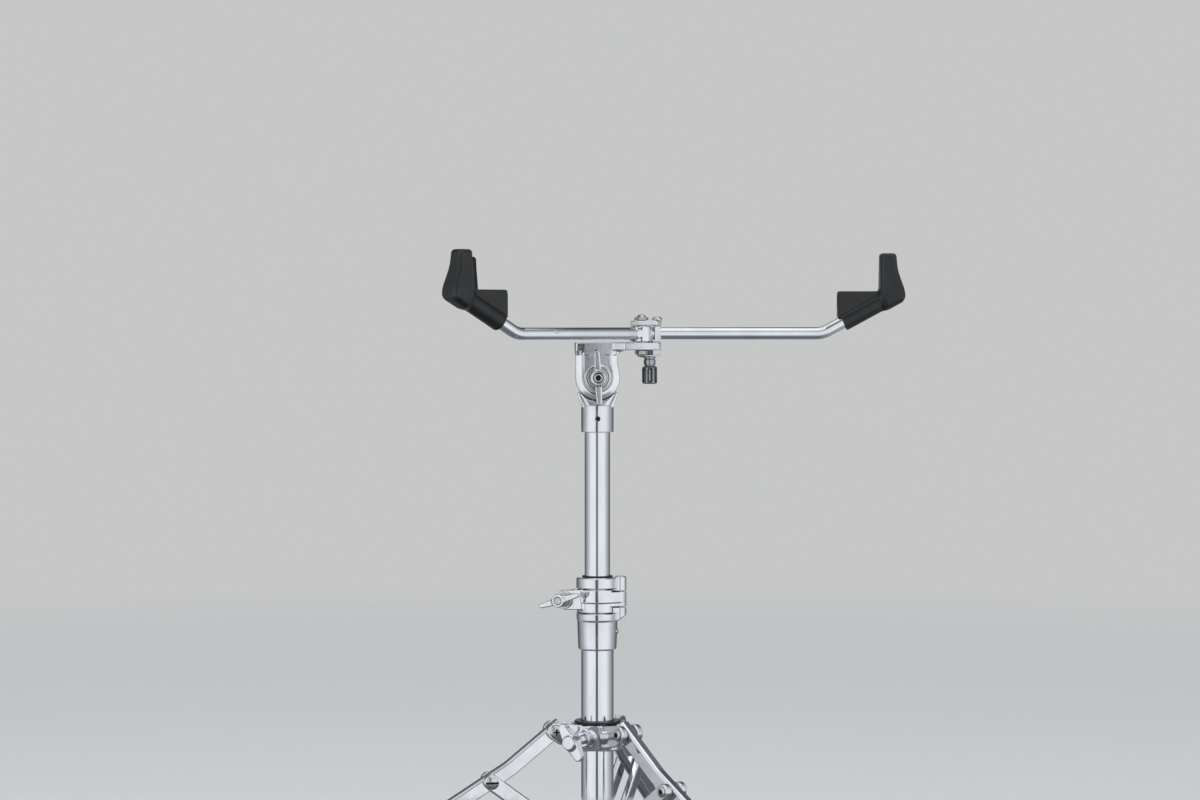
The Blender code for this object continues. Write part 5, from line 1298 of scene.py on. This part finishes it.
def clawField(p):
    # Sloping sleeve, thinner flat-topped rest and a finger whose flanks flow in an S, less bore and slot.
    out, side, up = p.T
    rise, run = armRise[1], armRise[0]
    along = (out + arm["bendBack"]) * run + up * rise
    across = up * run - (out + arm["bendBack"]) * rise
    radial, flat = np.hypot(across, side), np.abs(side)
    low, high, end = ((arm["bendBack"] + claw[key]) / run for key in ("sleeveLow", "sleeveHigh", "boreEnd"))
    sleeve = roundMeet(radial - claw["sleeve"], slabField(along, low, high), 1.2)
    rest = outlineField(out, up, restOutline, claw["restRound"])
    rest = roundMeet(rest, flat - claw["restHalf"], claw["restEdge"])
    half = np.interp(up, fingerHalf[:, 0], fingerHalf[:, 1])
    flank, back = (flat - half) * 0.98, outlineField(out, up, fingerOutline, 0.8)
    finger = roundMeet(roundMeet(back, flank, 0.6), (back + flank) * 0.7071 + claw["chamfer"], 0.8)
    finger = roundMeet(finger, (flat - half - out - claw["pad"] + claw["bevel"]) * 0.7, 0.8)
    finger = roundMeet(finger, -claw["sleeve"] - across, claw["heelRound"])
    finger = roundMeet(finger, up - claw["fingerTop"], claw["topRound"])
    body = roundJoin(roundJoin(sleeve, finger, claw["blend"]), rest, 0.8)
    body = cutOut(body, np.maximum(radial - claw["bore"], along - end), 0.5)
    return cutOut(body, np.maximum(outlineField(out, up, slotOutline), flat - claw["slotHalf"]), 0.6)


clawSkin = castSkin(clawField, *claw["box"], claw["cell"])
dress("right_claw", inPlane(clawSkin, 0.0, (arm["rightFinger"], 0.0, arm["up"])), clawRubber)
for label, sign in (("front_left", -1.0), ("rear_left", 1.0)):
    turnDegrees = 180.0 - sign * arm["leftTurn"]
    pivotPlace = np.array([pivotNuts["x"], sign * pivotNuts["y"], 0.0])
    fingerPlace = pivotPlace + turnWays(turnDegrees)[0] * arm["leftReach"] + zUp * arm["up"]
    dress(label + "_arm", inPlane(leftArm, turnDegrees, pivotPlace), barChrome)
    dress(label + "_claw", inPlane(clawSkin, turnDegrees, fingerPlace), clawRubber)
print("basket: arms", len(leftArm["points"]), "and claws", len(clawSkin["points"]), "points")


# Studio: a pale bowl, soft panels, and bright and grey cards that only gloss can see

studio = {"floor": -0.6, "wall": 6500.0, "wallTop": 7000.0, "bend": 2900.0, "tone": (0.78, 0.785, 0.79),
          "glow": 0.565, "cloud": 0.97, "world": 0.75, "worldTint": (0.90, 0.93, 0.97), "shadowReach": 1.2,
          "glowReach": 3.2, "aimUp": 0.40}
bowlCorners = [(studio["wall"], studio["wallTop"]), (studio["wall"], studio["floor"]),
               (0.0, studio["floor"])]
bowl = meshOf("studioBowl", turnedSkin(bowlCorners, studio["bend"], False, 128))


def seenRays(tree):
    # One for what is seen, straight, in gloss or through glass; nought for light that falls on things.
    path = tree.nodes.new("ShaderNodeLightPath")
    seen = mathOf(tree, "ADD", path.outputs["Is Camera Ray"], path.outputs["Is Glossy Ray"])
    return mathOf(tree, "ADD", seen, path.outputs["Is Transmission Ray"])


def bowlFinish():
    # Matt pale paint that keeps the shadow near the stand and glows evenly further out.
    material, tree, shader = startFinish("studioPaint")
    cloud = tuple(c * studio["cloud"] for c in studio["tone"])
    tint = mixTint(tree, noiseOf(tree, 0.6, 2.0), studio["tone"], cloud)
    coords = tree.nodes.new("ShaderNodeTexCoord")
    length = tree.nodes.new("ShaderNodeVectorMath")
    length.operation = "LENGTH"
    tree.links.new(coords.outputs["Object"], length.inputs[0])
    far = rangeOf(tree, length.outputs["Value"], studio["shadowReach"], studio["glowReach"], 0.0, 1.0)
    share = mathOf(tree, "MULTIPLY", far, seenRays(tree))
    shader.inputs["Roughness"].default_value = 0.9
    shader.inputs["Specular IOR Level"].default_value = 0.1
    tree.links.new(tint, shader.inputs["Base Color"])
    even = tree.nodes.new("ShaderNodeEmission")
    even.inputs["Color"].default_value = (*studio["tone"], 1.0)
    even.inputs["Strength"].default_value = studio["glow"] / studio["tone"][0]
    mix = tree.nodes.new("ShaderNodeMixShader")
    tree.links.new(share, mix.inputs["Fac"])
    tree.links.new(shader.outputs["BSDF"], mix.inputs[1])
    tree.links.new(even.outputs["Emission"], mix.inputs[2])
    tree.links.new(mix.outputs["Shader"], tree.nodes["Material Output"].inputs["Surface"])
    return material


bowl.data.materials.append(bowlFinish())
world = bpy.data.worlds.new("studioWorld")
world.use_nodes = True
world.node_tree.nodes["Background"].inputs["Color"].default_value = (*studio["worldTint"], 1.0)
world.node_tree.nodes["Background"].inputs["Strength"].default_value = studio["world"]
bpy.context.scene.world = world
middle = np.array([columnFoot[0], columnFoot[1], studio["aimUp"]])


def lookMatrix(place, target):
    # Frame at a place that looks at the target along its own minus z axis.
    right, up, back = levelFrame(place - target)
    return Matrix([(right[k], up[k], back[k], place[k]) for k in range(3)] + [(0.0, 0.0, 0.0, 1.0)])


# Turns are degrees from the camera's side, places and sizes are metres.
softPanels = {"leftPanel": {"turn": -48.0, "away": 2.7, "up": 0.7, "wide": 2.3, "tall": 2.6, "glow": 1.5,
                            "tint": (1.0, 0.985, 0.96)},
              "rightPanel": {"turn": 46.0, "away": 2.8, "up": 0.6, "wide": 2.2, "tall": 2.6, "glow": 1.2,
                             "tint": (0.97, 0.985, 1.0)},
              "topPanel": {"turn": 20.0, "away": 0.4, "up": 2.9, "wide": 2.4, "tall": 2.4, "glow": 1.2,
                           "tint": (1.0, 1.0, 1.0)}}
for name, look in softPanels.items():
    lamp = bpy.data.lights.new(name, "AREA")
    lamp.shape = "RECTANGLE"
    lamp.size, lamp.size_y = look["wide"], look["tall"]
    lamp.energy = look["glow"] * math.pi * look["wide"] * look["tall"]
    lamp.color = look["tint"]
    holder = bpy.data.objects.new(name, lamp)
    bpy.context.scene.collection.objects.link(holder)
    place = middle + turnWays(look["turn"] - 90.0)[0] * look["away"] + zUp * look["up"]
    holder.matrix_world = lookMatrix(place, middle)
    holder.visible_camera = False


ringCount = 361
ringTurns = np.linspace(-180.0, 180.0, ringCount)
ringWay = np.stack([np.sin(np.radians(ringTurns)), -np.cos(np.radians(ringTurns))], 1)
cardTints = {"dim": (0.010, 0.016, 0.026), "bright": (0.97, 1.0, 1.03)}
# Tones of the wall by the turn from the camera's side, with a dark gap near the camera.
ringLook = {"turns": (0, 16, 42, 61, 70, 78, 87, 98, 109, 122, 137, 152, 164, 172, 180),
            "tones": (0.88, 0.94, 1.0, 0.98, 0.88, 0.75, 0.62, 0.48, 0.40, 0.27, 0.13, 0.09, 0.12, 0.45,
                      0.60),
            "gapAt": -5.0, "gapReach": (3.8, 10.8), "gapDim": 0.93}
ringTones = np.interp(np.abs(ringTurns), ringLook["turns"], ringLook["tones"])
gapShare = np.interp(np.abs(ringTurns - ringLook["gapAt"]), ringLook["gapReach"], (ringLook["gapDim"], 0.0))
ringTones = ringTones * (1.0 - gapShare)
evenTones = np.ones(ringCount)
# Rows of each card: distance from the column, height and tone.
cards = {"glossWall": {"round": ringTones, "glow": 1.0, "rows": [
             (720.0, 0.0, 1.0), (720.0, 650.0, 1.0), (720.0, 1000.0, 0.62), (720.0, 1500.0, 0.42)]},
         "glossFloor": {"round": evenTones, "glow": 1.0, "rows": [
             (1.0, -0.3, 0.13), (300.0, -0.3, 0.15), (480.0, -0.3, 0.30), (720.0, -0.3, 0.50)]},
         "glossTop": {"round": evenTones, "glow": 1.25, "rows": [
             (1.0, 1520.0, 0.42), (90.0, 1520.0, 0.62), (220.0, 1520.0, 1.0), (330.0, 1520.0, 0.85),
             (430.0, 1520.0, 0.3)]}}


def cardFinish(name, glow):
    # Light of its own that goes from the dim tint to the bright one with the card's tone.
    material, tree, shader = startFinish(name)
    shader.inputs["Base Color"].default_value = (0.0, 0.0, 0.0, 1.0)
    shader.inputs["Specular IOR Level"].default_value = 0.0
    light = mixTint(tree, attributeOf(tree, "wear"), cardTints["dim"], cardTints["bright"])
    tree.links.new(light, shader.inputs["Emission Color"])
    shader.inputs["Emission Strength"].default_value = glow
    return material


def glossCard(name, look):
    # Rings of points at the rows' distances and heights, a tone at each, seen by gloss alone.
    away, level, fade = np.array(look["rows"]).T
    flat = away[:, None, None] * ringWay
    grid = np.concatenate([flat, np.broadcast_to(level[:, None, None], (len(away), ringCount, 1))], 2)
    index = np.arange(len(away) * ringCount).reshape(len(away), ringCount)
    faces = np.stack([index[:-1, :-1], index[:-1, 1:], index[1:, 1:], index[1:, :-1]], -1).reshape(-1, 4)
    tones = np.outer(fade, look["round"]).ravel()
    skin = {"points": grid.reshape(-1, 3), "normals": np.tile(zUp, (index.size, 1)), "wear": tones}
    card = meshOf(name, {**skin, "sunk": np.zeros(index.size), "faces": [faces]})
    card.data.materials.append(cardFinish(name + "Paint", look["glow"]))
    card.visible_camera = card.visible_diffuse = card.visible_shadow = False
    card.visible_transmission = card.visible_volume_scatter = False


for name, look in cards.items():
    glossCard(name, look)

# Distances in metres, turns in degrees, lens in millimetres.
cameraView = {"distance": 2.4, "turn": -1.7, "rise": 1.07, "right": 0.0022, "down": 0.0188, "lens": 86.76,
              "sensor": 36.0}
camTurn, camRise = math.radians(cameraView["turn"]), math.radians(cameraView["rise"])
tiltSpot = columnFoot + zUp * tiltUp * toMetres
camLevel = math.cos(camRise)
camWay = np.array([math.sin(camTurn) * camLevel, -math.cos(camTurn) * camLevel, math.sin(camRise)])
camRight = np.array([math.cos(camTurn), math.sin(camTurn), 0.0])
camAim = tiltSpot + camRight * cameraView["right"] - np.cross(camWay, camRight) * cameraView["down"]
cameraData = bpy.data.cameras.new("photoCamera")
cameraData.sensor_width = cameraView["sensor"]
cameraData.lens = cameraView["lens"]
camera = bpy.data.objects.new("photoCamera", cameraData)
bpy.context.scene.collection.objects.link(camera)
camera.matrix_world = lookMatrix(tiltSpot + camWay * cameraView["distance"], camAim)
bpy.context.scene.camera = camera
bpy.context.scene.view_settings.view_transform = "Standard"
print("studio: bowl, panels, cards and the camera")
